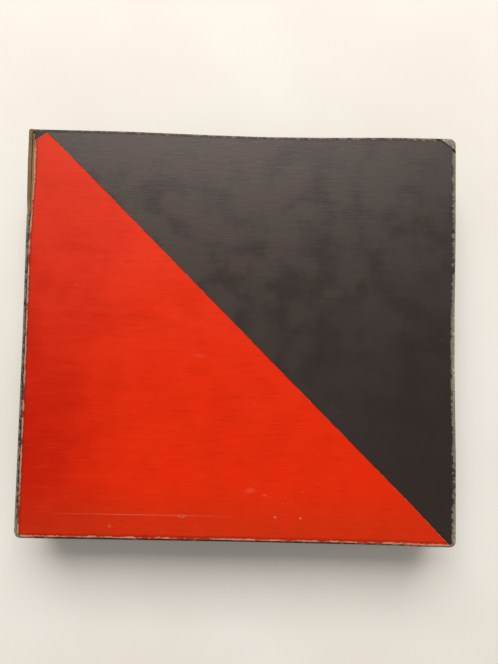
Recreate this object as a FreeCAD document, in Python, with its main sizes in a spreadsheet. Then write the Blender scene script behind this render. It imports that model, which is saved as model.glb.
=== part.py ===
"""Fleet guessing game in a two-piece set-up box: lid, base, insert, boards, screens, ships and markers.

Millimetres. Z is up, the origin is the middle of the underside, X runs along the long side and the
players sit at the two ends of X.
"""
import FreeCAD, Part
import math
import os
import re
import Sketcher

# Driving dimensions: alias, value, meaning
SIZES = (
    ("lid_length", 280, "outside length of the lid"),
    ("lid_width", 264, "outside width of the lid"),
    ("case_height", 44, "closed height of the case"),
    ("lid_depth", 35, "height of the lid from its rim to its top"),
    ("board_gauge", 1.8, "greyboard of the lid and the base"),
    ("wrap_gauge", 0.4, "covering paper"),
    ("facing_gauge", 0.2, "facing sheets on top of the lid"),
    ("stay_gauge", 0.2, "kraft paper stays on the corners"),
    ("stay_leg", 18, "leg of a corner stay along the wall"),
    ("turn_in", 16, "covering paper turned in over a rim"),
    ("corner_radius", 3, "outside radius of the upright corners"),
    ("fold_radius", 1.4, "outside radius of the edges round the top"),
    ("seam_gap", 0.2, "slit between two walls that meet at a corner"),
    ("lid_fit_gap", 1.5, "play between lid and base on each side"),
    ("facing_left", 4.2, "bare margin beside the facing, left"),
    ("facing_right", 3.6, "bare margin beside the facing, right"),
    ("facing_front", 1.8, "bare margin before the facing"),
    ("facing_back", 2.2, "bare margin behind the facing"),
    ("facing_lead", 7.8, "start of the diagonal from the left end of the back edge"),
    ("facing_clip", 5.6, "height of the tip cut off the red facing"),
    ("facing_joint", 0.2, "gap between the facings along the diagonal"),
    ("card_gauge", 1.2, "card of the insert"),
    ("insert_gap", 0.4, "play of the insert in the base"),
    ("deck_height", 31, "top of the platforms above the table"),
    ("platform_flange", 12, "foot of a platform, turned in and glued"),
    ("platform_fold", 2, "outside radius of the platform folds"),
    ("trough_width", 40, "clear width between the platforms"),
    ("lane_depth", 15, "depth of the fleet tray"),
    ("divider_drop", 3, "top of the dividers below the top of the tray"),
    ("slot_gap", 0.1, "play of a divider in a slot"),
    ("sea_board_gauge", 2.2, "board that the sea grids are printed on"),
    ("screen_gauge", 2, "board of a privacy screen"),
    ("leaf_gap", 0.4, "gap between a sea board and its folded screen"),
    ("leaf_inset", 1, "sea board and screen inside the platform edge"),
    ("leaf_corner", 3, "corner radius of sea boards and screens"),
    ("thumb_radius", 9, "thumb notch in the free edge of a screen"),
    ("tape_gauge", 0.3, "cloth hinge tape"),
    ("tape_width", 14, "tape glued on the back of a screen"),
    ("tape_tail", 9, "tape glued on the wall of a platform"),
    ("tape_gap", 0.4, "play between the two rolls of a tape hinge"),
    ("tape_arc", 85, "turn of the tape round the spine of a screen, in degrees"),
    ("leaflet_length", 150, "folded leaflet along X"),
    ("leaflet_width", 208, "folded leaflet along Y"),
    ("leaflet_gauge", 0.3, "one leaf of the leaflet"),
    ("leaflet_bulge", 0.4, "gap between the leaves at the fold"),
    ("leaflet_seat", 0.1, "leaflet above the tapes"),
    ("grid_margin", 16.2, "bare board before, between and behind the sea grids"),
    ("ship_margin", 0.6, "ship short of its cells at each end"),
    ("beam_margin", 0.9, "ship short of its cells at each side"),
    ("berth_gap", 1.5, "play at each end of a berth"),
    ("berth_lift", 0.1, "ship above the floor of the tray"),
    ("hull_height", 4, "height of a hull"),
    ("hull_tuck", 1, "edge cut off under a hull"),
    ("bow_length", 12, "length of a tapered bow"),
    ("quarter_drop", 1, "after deck below the fore deck"),
    ("deck_beam", 9.4, "width of a flight deck"),
    ("deck_gauge", 1.2, "thickness of a flight deck"),
    ("deck_chamfer", 2.2, "corners cut off a flight deck"),
    ("house_beam", 4.4, "width of a deckhouse"),
    ("house_height", 2.2, "height of one tier of a deckhouse"),
    ("turret_radius", 2, "radius of a gun turret"),
    ("turret_height", 1.6, "height of a gun turret"),
    ("barrel_length", 3.4, "gun barrel in front of the turret's middle"),
    ("barrel_gauge", 0.8, "width and height of a gun barrel"),
    ("funnel_radius", 1.3, "radius of a funnel"),
    ("funnel_height", 6, "height of a funnel above deck"),
    ("mast_radius", 0.6, "radius of a mast"),
    ("mast_height", 9, "height of a mast above deck"),
    ("casing_height", 0.8, "height of the narrow deck on a submarine"),
    ("tower_length", 7, "length of a submarine's tower"),
    ("tower_beam", 2.6, "width of a submarine's tower"),
    ("tower_height", 4, "height of a submarine's tower above its deck"),
    ("counter_gauge", 2, "thickness of a marker"),
    ("stack_gap", 2.2, "play between stacks of markers"),
    ("counter_gap", 0.05, "gap between markers in a stack"),
)
GRIDS_PER_BOARD = 2
CELLS_PER_GRID = 10
COUNTER_STACKS = 6
COUNTERS_PER_STACK = 5

# Levels and sizes that follow from the driving dimensions, as formulas
LID_TOP = "(case_height - facing_gauge)"
LID_CORE_TOP = f"({LID_TOP} - wrap_gauge)"
CEILING = f"({LID_CORE_TOP} - board_gauge)"
SKIRT = "(case_height - lid_depth)"
LID_CORE_LENGTH = "(lid_length - 2 * wrap_gauge)"
LID_CORE_WIDTH = "(lid_width - 2 * wrap_gauge)"
WALL = "(2 * wrap_gauge + board_gauge)"
BASE_LENGTH = f"(lid_length - 2 * {WALL} - 2 * lid_fit_gap)"
BASE_WIDTH = f"(lid_width - 2 * {WALL} - 2 * lid_fit_gap)"
BASE_CORE_LENGTH = f"({BASE_LENGTH} - 2 * wrap_gauge)"
BASE_CORE_WIDTH = f"({BASE_WIDTH} - 2 * wrap_gauge)"
RIM = CEILING
FLOOR = "(wrap_gauge + board_gauge)"
INSERT_LENGTH = f"({BASE_LENGTH} - 2 * {WALL} - 2 * insert_gap)"
INSERT_WIDTH = f"({BASE_WIDTH} - 2 * {WALL} - 2 * insert_gap)"
PLATFORM_LENGTH = f"(({INSERT_LENGTH} - trough_width) / 2)"
PLATFORM_X = f"((trough_width + {PLATFORM_LENGTH}) / 2)"
LEAF_LENGTH = f"({PLATFORM_LENGTH} - leaf_inset)"
LEAF_WIDTH = f"({INSERT_WIDTH} - 2 * leaf_inset)"
LEAF_X = f"((trough_width + {LEAF_LENGTH}) / 2)"
MARGINS = f"({GRIDS_PER_BOARD + 1} * grid_margin)"
CELL = f"(({LEAF_WIDTH} - {MARGINS}) / {GRIDS_PER_BOARD * CELLS_PER_GRID})"
SEA_TOP = "(deck_height + sea_board_gauge)"
AXIS_X = "(trough_width / 2)"
AXIS_Z = f"({SEA_TOP} + leaf_gap / 2)"
SCREEN_FOOT = f"({SEA_TOP} + leaf_gap)"
SCREEN_TOP = f"({SCREEN_FOOT} + screen_gauge)"
ROLL_INSIDE = f"({SCREEN_TOP} - {AXIS_Z})"
ROLL_OUTSIDE = f"({ROLL_INSIDE} + tape_gauge)"
CUFF_INSIDE = f"({ROLL_OUTSIDE} + tape_gap)"
CUFF_OUTSIDE = f"({CUFF_INSIDE} + tape_gauge)"
TRAY_TOP = f"({AXIS_Z} - {CUFF_OUTSIDE} - tape_gap)"
TRAY_FLOOR = f"({TRAY_TOP} - lane_depth)"
TRAY_LENGTH = "(trough_width - 2 * (tape_gauge + insert_gap))"
LANES_LENGTH = f"({TRAY_LENGTH} - 2 * card_gauge)"
LANES_WIDTH = f"({INSERT_WIDTH} - 2 * card_gauge)"
LANE_X = f"(({LANES_LENGTH} + card_gauge) / 4)"
DIVIDER_HEIGHT = "(lane_depth - divider_drop)"
SHIP_FOOT = f"({TRAY_FLOOR} + berth_lift)"
SHIP_BEAM = f"({CELL} - 2 * beam_margin)"
LEAFLET_FOOT = f"({SCREEN_TOP} + tape_gauge + leaflet_seat)"

# Ships from the back of the tray to the front, with the number of cells each one covers
SHIPS = (("carrier", 5), ("battleship", 4), ("cruiser", 3), ("submarine", 3), ("destroyer", 2))
LEFT, RIGHT = -1, 1
TURRET_SIDES = 8
SIDE_NAMES = {LEFT: "left", RIGHT: "right"}
FLEETS = {LEFT: "red", RIGHT: "black"}

ALIAS = re.compile(r"\b(" + "|".join(alias for alias, _, _ in SIZES) + r")\b")
DOC = FreeCAD.newDocument("fleet_case")
SHEET = DOC.addObject("Spreadsheet::Sheet", "Sizes")
SUB_PARTS = []
TINY = 1e-6


def fill_sheet():
    for row, (alias, value, meaning) in enumerate(SIZES, start=1):
        SHEET.set(f"A{row}", meaning)
        SHEET.set(f"B{row}", str(value))
        SHEET.setAlias(f"B{row}", alias)
    DOC.recompute()


def bind(thing, **formulas):
    """Tie properties to the sheet; a double underscore stands for a dot in the property's path."""
    for path, formula in formulas.items():
        thing.setExpression(path.replace("__", "."), ALIAS.sub(r"Sizes.\1", str(formula)))


def place(thing, x="0", y="0", z="0"):
    bind(thing, Placement__Base__x=x, Placement__Base__y=y, Placement__Base__z=z)


def keep(thing, label):
    """Name a finished sub-part."""
    thing.Label = label
    SUB_PARTS.append(thing)
    return thing


# Part primitives and booleans
def box(name, length, width, height, x="0", y="0", z="0"):
    """A box centred on x and y that stands on z."""
    solid = DOC.addObject("Part::Box", name)
    bind(solid, Length=length, Width=width, Height=height)
    place(solid, f"{x} - ({length}) / 2", f"{y} - ({width}) / 2", z)
    return solid


def lying_sector(name, radius, span, angle, turn, x, z, sweep=1):
    """A sector of a cylinder along Y that starts at the angle turn; sweep -1 turns it the other way."""
    solid = DOC.addObject("Part::Cylinder", name)
    bind(solid, Radius=radius, Height=span, Angle=angle)
    lie_along_y = FreeCAD.Rotation(FreeCAD.Vector(1, 0, 0), sweep * 90)
    solid.Placement.Rotation = FreeCAD.Rotation(FreeCAD.Vector(0, 1, 0), -turn) * lie_along_y
    place(solid, x, f"{sweep} * ({span}) / 2", z)
    return solid


def cut(name, base, *tools):
    for number, tool in enumerate(tools, start=1):
        result = DOC.addObject("Part::Cut", f"{name}_{number}")
        result.Base = base
        result.Tool = tool
        base = result
    return base


def fuse(name, *pieces):
    result = DOC.addObject("Part::MultiFuse", name)
    result.Shapes = list(pieces)
    return result


def common(name, first, second):
    result = DOC.addObject("Part::Common", name)
    result.Base = first
    result.Tool = second
    return result


def group(name, pieces):
    result = DOC.addObject("Part::Compound", name)
    result.Links = list(pieces)
    return result


# Bodies, sketches and features
def new_sketch(body, name, role="XY_Plane", x="0", y="0", z="0"):
    sketch = body.newObject("Sketcher::SketchObject", name)
    plane = next(feature for feature in body.Origin.OriginFeatures if feature.Role == role)
    sketch.AttachmentSupport = [(plane, "")]
    sketch.MapMode = "FlatFace"
    bind(sketch, AttachmentOffset__Base__x=x, AttachmentOffset__Base__y=y, AttachmentOffset__Base__z=z)
    return sketch


def polygon(sketch, points):
    """Draw a closed outline of lines and join their ends."""
    ends = [FreeCAD.Vector(x, y, 0) for x, y in points]
    count = len(ends)
    for side in range(count):
        sketch.addGeometry(Part.LineSegment(ends[side], ends[(side + 1) % count]), False)
    for side in range(count):
        sketch.addConstraint(Sketcher.Constraint("Coincident", side, 2, (side + 1) % count, 1))


def dimension(sketch, name, formula, kind, *where):
    """Add a dimension, drawn at its present size, and tie it to the sheet."""
    number = sketch.addConstraint(Sketcher.Constraint(kind, *where))
    sketch.renameConstraint(number, name)
    bind(sketch, **{f"Constraints__{name}": formula})


def rectangle(sketch, length, width):
    polygon(sketch, ((-1, -1), (1, -1), (1, 1), (-1, 1)))
    for side in (0, 2):
        sketch.addConstraint(Sketcher.Constraint("Horizontal", side))
    for side in (1, 3):
        sketch.addConstraint(Sketcher.Constraint("Vertical", side))
    sketch.addConstraint(Sketcher.Constraint("Symmetric", 0, 1, 1, 2, -1, 1))
    dimension(sketch, "length", length, "DistanceX", 0, 1, 0, 2, 2)
    dimension(sketch, "width", width, "DistanceY", 1, 1, 1, 2, 2)


def disc(sketch, radius):
    sketch.addGeometry(Part.Circle(FreeCAD.Vector(0, 0, 0), FreeCAD.Vector(0, 0, 1), 1), False)
    sketch.addConstraint(Sketcher.Constraint("Coincident", 0, 3, -1, 1))
    dimension(sketch, "radius", radius, "Radius", 0, 1)


def pad(body, sketch, name, height):
    feature = body.newObject("PartDesign::Pad", name)
    feature.Profile = sketch
    bind(feature, Length=height)


def pocket(body, sketch, name, depth):
    """Cut down from a sketch, and make sure that something was cut."""
    DOC.recompute()
    before = body.Shape.Volume
    feature = body.newObject("PartDesign::Pocket", name)
    feature.Profile = sketch
    bind(feature, Length=depth)
    DOC.recompute()
    if body.Shape.Volume > before - TINY:
        raise RuntimeError(f"{name} cuts nothing")


def is_upright(edge):
    bounds = edge.BoundBox
    return bounds.ZLength > max(bounds.XLength, bounds.YLength)


def at_top(body):
    """A test that picks the edges round the top of a body as it is so far."""
    DOC.recompute()
    level = body.Shape.BoundBox.ZMax
    return lambda edge: edge.BoundBox.ZMin > level - TINY


def at_foot(body):
    DOC.recompute()
    level = body.Shape.BoundBox.ZMin
    return lambda edge: edge.BoundBox.ZMax < level + TINY


def soften(body, kind, name, size, wanted):
    """Fillet or chamfer the edges of the body's last feature that the test picks."""
    DOC.recompute()
    base = body.Tip
    names = [f"Edge{number}" for number, edge in enumerate(base.Shape.Edges, start=1) if wanted(edge)]
    feature = body.newObject(f"PartDesign::{kind}", name)
    feature.Base = (base, names)
    bind(feature, **{"Radius" if kind == "Fillet" else "Size": size})


def rounded_block(name, length, width, height, corner, x="0", y="0", z="0", top=None):
    """A block with round upright corners; top may give a kind of softening and its size."""
    body = DOC.addObject("PartDesign::Body", name)
    sketch = new_sketch(body, f"{name}_outline")
    rectangle(sketch, length, width)
    pad(body, sketch, f"{name}_pad", height)
    soften(body, "Fillet", f"{name}_corners", corner, is_upright)
    if top:
        kind, size = top
        soften(body, kind, f"{name}_folds", size, at_top(body))
    place(body, x, y, z)
    return body


# Lid and base
def corner_stays(name, core, length, width, height, corner, foot):
    """Four angles of paper let into the outside of a box's corners."""
    inside = rounded_block(f"{name}_inside", f"{length} - 2 * stay_gauge", f"{width} - 2 * stay_gauge",
                           height, f"{corner} - stay_gauge", z=foot)
    sleeve = cut(f"{name}_sleeve", core, inside)
    posts = []
    for column in (LEFT, RIGHT):
        for row in (-1, 1):
            x = f"{column} * ({length} - stay_leg) / 2"
            y = f"{row} * ({width} - stay_leg) / 2"
            posts.append(box(f"{name}_post_{len(posts)}", "stay_leg", "stay_leg", height, x, y, foot))
    return keep(common(name, sleeve, group(f"{name}_posts", posts)), name)


def corner_slits(name, length, width, height, foot):
    """Slits that part the end walls from the long walls between which they stand."""
    slits = []
    for column in (LEFT, RIGHT):
        for row in (-1, 1):
            x = f"{column} * ({length} / 2 - board_gauge)"
            y = f"{row} * ({width} / 2 - board_gauge - seam_gap / 2)"
            slits.append(box(f"{name}_{len(slits)}", "2 * board_gauge", "seam_gap", height, x, y, foot))
    return group(name, slits)


def turned_in_paper(name, length, width, foot):
    """Covering paper on the inside of the walls, next to a rim."""
    height = "(turn_in - wrap_gauge)"
    outside = box(f"{name}_outside", length, width, height, z=foot)
    inside = box(f"{name}_inside", f"{length} - 2 * wrap_gauge", f"{width} - 2 * wrap_gauge", height, z=foot)
    return cut(name, outside, inside)


def make_lid():
    inside_length = f"({LID_CORE_LENGTH} - 2 * board_gauge)"
    inside_width = f"({LID_CORE_WIDTH} - 2 * board_gauge)"
    core_foot = f"({SKIRT} + wrap_gauge)"
    core_height = f"({LID_CORE_TOP} - {core_foot})"
    core_corner = "(corner_radius - wrap_gauge)"
    stay_height = f"({core_height} - fold_radius)"
    wall_height = f"({CEILING} - {core_foot})"
    shell = rounded_block("lid_shell", "lid_length", "lid_width", f"{LID_TOP} - {SKIRT}",
                          "corner_radius", z=SKIRT, top=("Fillet", "fold_radius"))
    core = rounded_block("lid_core", LID_CORE_LENGTH, LID_CORE_WIDTH, core_height,
                         core_corner, z=core_foot, top=("Chamfer", "fold_radius - wrap_gauge"))
    cavity = box("lid_cavity", inside_length, inside_width, wall_height, z=core_foot)
    stays = corner_stays("lid_corner_stays", core, LID_CORE_LENGTH, LID_CORE_WIDTH, stay_height,
                         core_corner, core_foot)
    slits = corner_slits("lid_slits", LID_CORE_LENGTH, LID_CORE_WIDTH, wall_height, core_foot)
    keep(cut("lid_blank", core, cavity, stays, slits), "lid_board")
    mouth = box("lid_mouth", f"{inside_length} - 2 * wrap_gauge", f"{inside_width} - 2 * wrap_gauge",
                "wrap_gauge", z=SKIRT)
    skin = cut("lid_skin", shell, core, mouth)
    keep(fuse("lid_paper", skin, turned_in_paper("lid_turn_in", inside_length, inside_width, core_foot)),
         "lid_wrap")


def make_base():
    inside_length = f"({BASE_CORE_LENGTH} - 2 * board_gauge)"
    inside_width = f"({BASE_CORE_WIDTH} - 2 * board_gauge)"
    core_foot = "wrap_gauge"
    core_top = f"({RIM} - wrap_gauge)"
    core_height = f"({core_top} - {core_foot})"
    core_corner = "(corner_radius - wrap_gauge)"
    wall_height = f"({core_top} - {FLOOR})"
    keep(rounded_block("base_sheet", BASE_LENGTH, BASE_WIDTH, "wrap_gauge", "corner_radius"),
         "base_bottom_sheet")
    shell = rounded_block("base_shell", BASE_LENGTH, BASE_WIDTH, f"{RIM} - {core_foot}", "corner_radius",
                          z=core_foot)
    core = rounded_block("base_core", BASE_CORE_LENGTH, BASE_CORE_WIDTH, core_height, core_corner,
                         z=core_foot)
    cavity = box("base_cavity", inside_length, inside_width, wall_height, z=FLOOR)
    stays = corner_stays("base_corner_stays", core, BASE_CORE_LENGTH, BASE_CORE_WIDTH, core_height,
                         core_corner, core_foot)
    slits = corner_slits("base_slits", BASE_CORE_LENGTH, BASE_CORE_WIDTH, wall_height, FLOOR)
    keep(cut("base_blank", core, cavity, stays, slits), "base_board")
    mouth = box("base_mouth", f"{inside_length} - 2 * wrap_gauge", f"{inside_width} - 2 * wrap_gauge",
                "wrap_gauge", z=core_top)
    skin = cut("base_skin", shell, core, mouth)
    turn_in = turned_in_paper("base_turn_in", inside_length, inside_width,
                              f"{core_top} - turn_in + wrap_gauge")
    keep(fuse("base_paper", skin, turn_in), "base_wrap")


def corner_polygon(sketch, corners):
    """Draw corners roughly at x and y, then give each its formulas from the origin, or put it on an axis."""
    polygon(sketch, [(x, y) for x, y, _, _ in corners])
    up, across = -2, -1
    for corner, (x, y, along, upward) in enumerate(corners):
        if along:
            dimension(sketch, f"x_{corner}", along, "DistanceX", -1, 1, corner, 1, x)
        else:
            sketch.addConstraint(Sketcher.Constraint("PointOnObject", corner, 1, up))
        if upward:
            dimension(sketch, f"y_{corner}", upward, "DistanceY", -1, 1, corner, 1, y)
        else:
            sketch.addConstraint(Sketcher.Constraint("PointOnObject", corner, 1, across))


def make_facings():
    """Two sheets that meet on a diagonal from near the left end of the back edge to the front right corner."""
    length = "(lid_length - facing_left - facing_right)"
    width = "(lid_width - facing_front - facing_back)"
    red = ((0, 0, None, None), (200, 0, length, None), (10, 200, "facing_lead", width),
           (0, 190, None, f"{width} - facing_clip"))
    black = ((200, 200, length, width), (10, 200, "facing_lead + facing_joint", width),
             (200, 10, length, "facing_joint"))
    for name, corners in (("lid_facing_red", red), ("lid_facing_black", black)):
        body = DOC.addObject("PartDesign::Body", f"{name}_body")
        sketch = new_sketch(body, f"{name}_outline")
        corner_polygon(sketch, corners)
        pad(body, sketch, f"{name}_pad", "facing_gauge")
        place(body, "facing_left - lid_length / 2", "facing_front - lid_width / 2", LID_TOP)
        keep(body, name)


# Insert
def make_platform(side):
    """A bridge of folded card whose feet are turned in and glued to the floor of the base."""
    name = f"{SIDE_NAMES[side]}_platform"
    x = f"{side} * {PLATFORM_X}"
    height = f"(deck_height - {FLOOR})"
    block = DOC.addObject("PartDesign::Body", f"{name}_body")
    sketch = new_sketch(block, f"{name}_outline")
    rectangle(sketch, PLATFORM_LENGTH, INSERT_WIDTH)
    pad(block, sketch, f"{name}_pad", height)
    is_top = at_top(block)
    soften(block, "Fillet", f"{name}_folds", "platform_fold",
           lambda edge: is_top(edge) and edge.BoundBox.YLength > edge.BoundBox.XLength)
    place(block, x, "0", FLOOR)
    under = box(f"{name}_under", f"{PLATFORM_LENGTH} - 2 * card_gauge", INSERT_WIDTH,
                f"{height} - 2 * card_gauge", x, "0", f"{FLOOR} + card_gauge")
    gap = box(f"{name}_gap", f"{PLATFORM_LENGTH} - 2 * platform_flange", INSERT_WIDTH, "card_gauge",
              x, "0", FLOOR)
    keep(cut(f"{name}_card", block, under, gap), name)


def ship_length(cells):
    return f"({cells} * {CELL} - 2 * ship_margin)"


def berth_length(cells):
    return f"({ship_length(cells)} + 2 * berth_gap)"


def berths():
    """The middle of each berth and of the divider before it, from the back of the tray to the front."""
    edge = f"({LANES_WIDTH} / 2)"
    middles, dividers = [], []
    for _, cells in SHIPS:
        length = berth_length(cells)
        middles.append(f"({edge} - {length} / 2)")
        edge = f"({edge} - {length} - card_gauge)"
        dividers.append(f"({edge} + card_gauge / 2)")
    return middles, dividers, edge


def make_fleet_tray():
    block = box("tray_block", TRAY_LENGTH, INSERT_WIDTH, f"{TRAY_TOP} - {FLOOR}", z=FLOOR)
    lanes = box("tray_lanes", LANES_LENGTH, LANES_WIDTH, "lane_depth", z=TRAY_FLOOR)
    under = box("tray_under", LANES_LENGTH, INSERT_WIDTH, f"{TRAY_FLOOR} - card_gauge - {FLOOR}", z=FLOOR)
    keep(cut("tray_card", block, lanes, under), "fleet_tray")


def make_dividers(dividers):
    """A long strip and five short ones, halved into each other by slots."""
    slot = "(card_gauge + 2 * slot_gap)"
    half = f"({DIVIDER_HEIGHT} / 2)"
    long_strip = box("lane_strip", "card_gauge", LANES_WIDTH, DIVIDER_HEIGHT, z=TRAY_FLOOR)
    long_slots, short_strips = [], []
    for number, y in enumerate(dividers):
        long_slots.append(box(f"lane_slot_{number}", "card_gauge", slot, half, "0", y,
                              f"{TRAY_FLOOR} + {half}"))
        strip = box(f"cross_strip_{number}", LANES_LENGTH, "card_gauge", DIVIDER_HEIGHT, "0", y, TRAY_FLOOR)
        notch = box(f"cross_slot_{number}", slot, "card_gauge", half, "0", y, TRAY_FLOOR)
        short_strips.append(cut(f"cross_card_{number}", strip, notch))
    keep(cut("lane_card", long_strip, group("lane_slots", long_slots)), "lane_divider")
    keep(group("cross_cards", short_strips), "cross_dividers")


# Boards, screens and leaflet
def make_leaves(side):
    """A sea board on its platform and the screen that folds down on it, with a thumb notch."""
    label = SIDE_NAMES[side]
    x = f"{side} * {LEAF_X}"
    keep(rounded_block(f"{label}_sea", LEAF_LENGTH, LEAF_WIDTH, "sea_board_gauge", "leaf_corner",
                       x=x, z="deck_height"), f"{label}_sea_board")
    leaf = rounded_block(f"{label}_leaf", LEAF_LENGTH, LEAF_WIDTH, "screen_gauge", "leaf_corner",
                         x=x, z=SCREEN_FOOT)
    thumb = DOC.addObject("Part::Cylinder", f"{label}_thumb")
    bind(thumb, Radius="thumb_radius", Height="screen_gauge")
    place(thumb, f"{side} * (trough_width / 2 + {LEAF_LENGTH})", "0", SCREEN_FOOT)
    keep(cut(f"{label}_screen_board", leaf, thumb), f"{label}_screen")


def make_tapes(side):
    """Cloth tape round the spine: a roll that turns with the screen inside a cuff on the platform."""
    label = SIDE_NAMES[side]
    axis_x = f"{side} * {AXIS_X}"
    span = f"({LEAF_WIDTH} - 2 * leaf_corner)"
    roll_turn = 90
    cuff_turn = 180 if side == RIGHT else 0
    on_axis = (axis_x, AXIS_Z, side)
    roll = cut(f"{label}_roll",
               lying_sector(f"{label}_roll_out", ROLL_OUTSIDE, span, "tape_arc", roll_turn, *on_axis),
               lying_sector(f"{label}_roll_in", ROLL_INSIDE, span, "tape_arc", roll_turn, *on_axis))
    strip = box(f"{label}_strip", "tape_width", span, "tape_gauge",
                f"{side} * ({AXIS_X} + tape_width / 2)", "0", SCREEN_TOP)
    keep(fuse(f"{label}_roll_tape", roll, strip), f"{label}_screen_tape")
    cuff = cut(f"{label}_cuff",
               lying_sector(f"{label}_cuff_out", CUFF_OUTSIDE, span, "90", cuff_turn, *on_axis),
               lying_sector(f"{label}_cuff_in", CUFF_INSIDE, span, "90", cuff_turn, *on_axis))
    tail_top = f"({AXIS_Z} - {CUFF_INSIDE} - tape_gauge / 2)"
    tail = box(f"{label}_tail", "tape_gauge", span, "tape_tail",
               f"{side} * ({AXIS_X} - tape_gauge / 2)", "0", f"{tail_top} - tape_tail")
    keep(fuse(f"{label}_cuff_tape", cuff, tail), f"{label}_case_tape")


def make_leaflet():
    """One sheet folded once, lying on the closed screens with its fold to the left."""
    leaf = "(leaflet_length - leaflet_gauge - leaflet_bulge / 2)"
    fold_radius = "(leaflet_gauge + leaflet_bulge / 2)"
    fold_x = f"({fold_radius} - leaflet_length / 2)"
    fold_z = f"({LEAFLET_FOOT} + {fold_radius})"
    leaf_x = f"({fold_x} + {leaf} / 2)"
    lower = box("leaflet_lower", leaf, "leaflet_width", "leaflet_gauge", leaf_x, "0", LEAFLET_FOOT)
    upper = box("leaflet_upper", leaf, "leaflet_width", "leaflet_gauge", leaf_x, "0",
                f"{LEAFLET_FOOT} + leaflet_gauge + leaflet_bulge")
    half_turn = ("leaflet_width", "180", 90, fold_x, fold_z)
    fold = cut("leaflet_fold", lying_sector("leaflet_fold_out", fold_radius, *half_turn),
               lying_sector("leaflet_fold_in", "leaflet_bulge / 2", *half_turn))
    keep(fuse("leaflet_sheet", lower, upper, fold), "rules_leaflet")


# Ships
def hull_outline(sketch, length, beam, bow):
    """A square stern, straight sides and two arcs that leave the sides smoothly and meet at the bow."""
    half_length, half_beam, taper = 20.0, 4.0, 12.0
    radius = (taper ** 2 + half_beam ** 2) / (2 * half_beam)
    shoulder = half_length - taper
    corners = ((-half_beam, -half_length), (half_beam, -half_length), (half_beam, shoulder),
               (0, half_length), (-half_beam, shoulder))
    points = [FreeCAD.Vector(x, y, 0) for x, y in corners]
    stern, right, tip, left = 0, 1, (2, 2), 4
    sketch.addGeometry(Part.LineSegment(points[0], points[1]), False)
    sketch.addGeometry(Part.LineSegment(points[1], points[2]), False)
    for mirror in (1, -1):
        centre = FreeCAD.Vector(mirror * (half_beam - radius), shoulder, 0)
        middle = centre + (points[2 if mirror == 1 else 4] + points[3] - centre * 2).normalize() * radius
        ends = (points[2], points[3]) if mirror == 1 else (points[3], points[4])
        sketch.addGeometry(Part.Arc(ends[0], middle, ends[1]), False)
    sketch.addGeometry(Part.LineSegment(points[4], points[0]), False)
    joints = (("Coincident", stern, 2, right, 1), ("Tangent", right, 2, 2, 1), ("Coincident", 2, 2, 3, 1),
              ("Tangent", 3, 2, left, 1), ("Coincident", left, 2, stern, 1),
              ("Vertical", right), ("Vertical", left), ("Symmetric", stern, 1, stern, 2, -2),
              ("PointOnObject", *tip, -2), ("Equal", right, left))
    for joint in joints:
        sketch.addConstraint(Sketcher.Constraint(*joint))
    dimension(sketch, "beam", beam, "DistanceX", stern, 1, stern, 2, 2 * half_beam)
    dimension(sketch, "length", length, "DistanceY", stern, 2, *tip, 2 * half_length)
    dimension(sketch, "bow", bow, "DistanceY", right, 2, *tip, taper)
    dimension(sketch, "aft", f"{length} / 2", "DistanceY", stern, 2, -1, 1, half_length)


def regular_polygon(sketch, sides, radius):
    """A polygon on a construction circle round the middle of the sketch, with one side level."""
    turns = [math.pi * (2 * corner - 1) / sides - math.pi / 2 for corner in range(sides)]
    polygon(sketch, [(math.cos(turn), math.sin(turn)) for turn in turns])
    sketch.addGeometry(Part.Circle(FreeCAD.Vector(0, 0, 0), FreeCAD.Vector(0, 0, 1), 1), True)
    sketch.addConstraint(Sketcher.Constraint("Coincident", sides, 3, -1, 1))
    sketch.addConstraint(Sketcher.Constraint("Horizontal", 0))
    for side in range(sides):
        sketch.addConstraint(Sketcher.Constraint("PointOnObject", side, 1, sides))
    for side in range(1, sides):
        sketch.addConstraint(Sketcher.Constraint("Equal", 0, side))
    dimension(sketch, "radius", radius, "Radius", sides, 1)


def make_hull(body, name, length):
    """A hull with upright sides, tucked in at its foot."""
    outline = new_sketch(body, f"{name}_outline")
    hull_outline(outline, length, SHIP_BEAM, "bow_length")
    pad(body, outline, f"{name}_hull", "hull_height")
    soften(body, "Chamfer", f"{name}_tuck", "hull_tuck", at_foot(body))


def lower_quarter_deck(body, name, length):
    """Cut the after third of a deck down by a step."""
    plan = new_sketch(body, f"{name}_quarter_plan", y=f"-{length} / 2", z="hull_height")
    rectangle(plan, f"2 * {SHIP_BEAM}", f"{length} * 2 / 3")
    pocket(body, plan, f"{name}_quarter_deck", "quarter_drop")


def add_house(body, name, length, beam, height, y="0", x="0", foot="hull_height"):
    sketch = new_sketch(body, f"{name}_plan", x=x, y=y, z=foot)
    rectangle(sketch, beam, length)
    pad(body, sketch, f"{name}_block", height)


def add_post(body, name, radius, height, y="0", x="0", foot="hull_height"):
    sketch = new_sketch(body, f"{name}_plan", x=x, y=y, z=foot)
    disc(sketch, radius)
    pad(body, sketch, f"{name}_post", height)


def add_turret(body, name, y, ahead, deck="hull_height"):
    """An eight-sided turret with a pair of barrels, ahead 1 to point them at the bow and -1 at the stern."""
    sketch = new_sketch(body, f"{name}_plan", y=y, z=deck)
    regular_polygon(sketch, TURRET_SIDES, "turret_radius")
    pad(body, sketch, f"{name}_drum", "turret_height")
    for board, x in (("port", "-barrel_gauge"), ("starboard", "barrel_gauge")):
        add_house(body, f"{name}_{board}", "barrel_length", "barrel_gauge", "barrel_gauge",
                  f"{y} + {ahead} * barrel_length / 2", x, f"{deck} + (turret_height - barrel_gauge) / 2")


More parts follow.
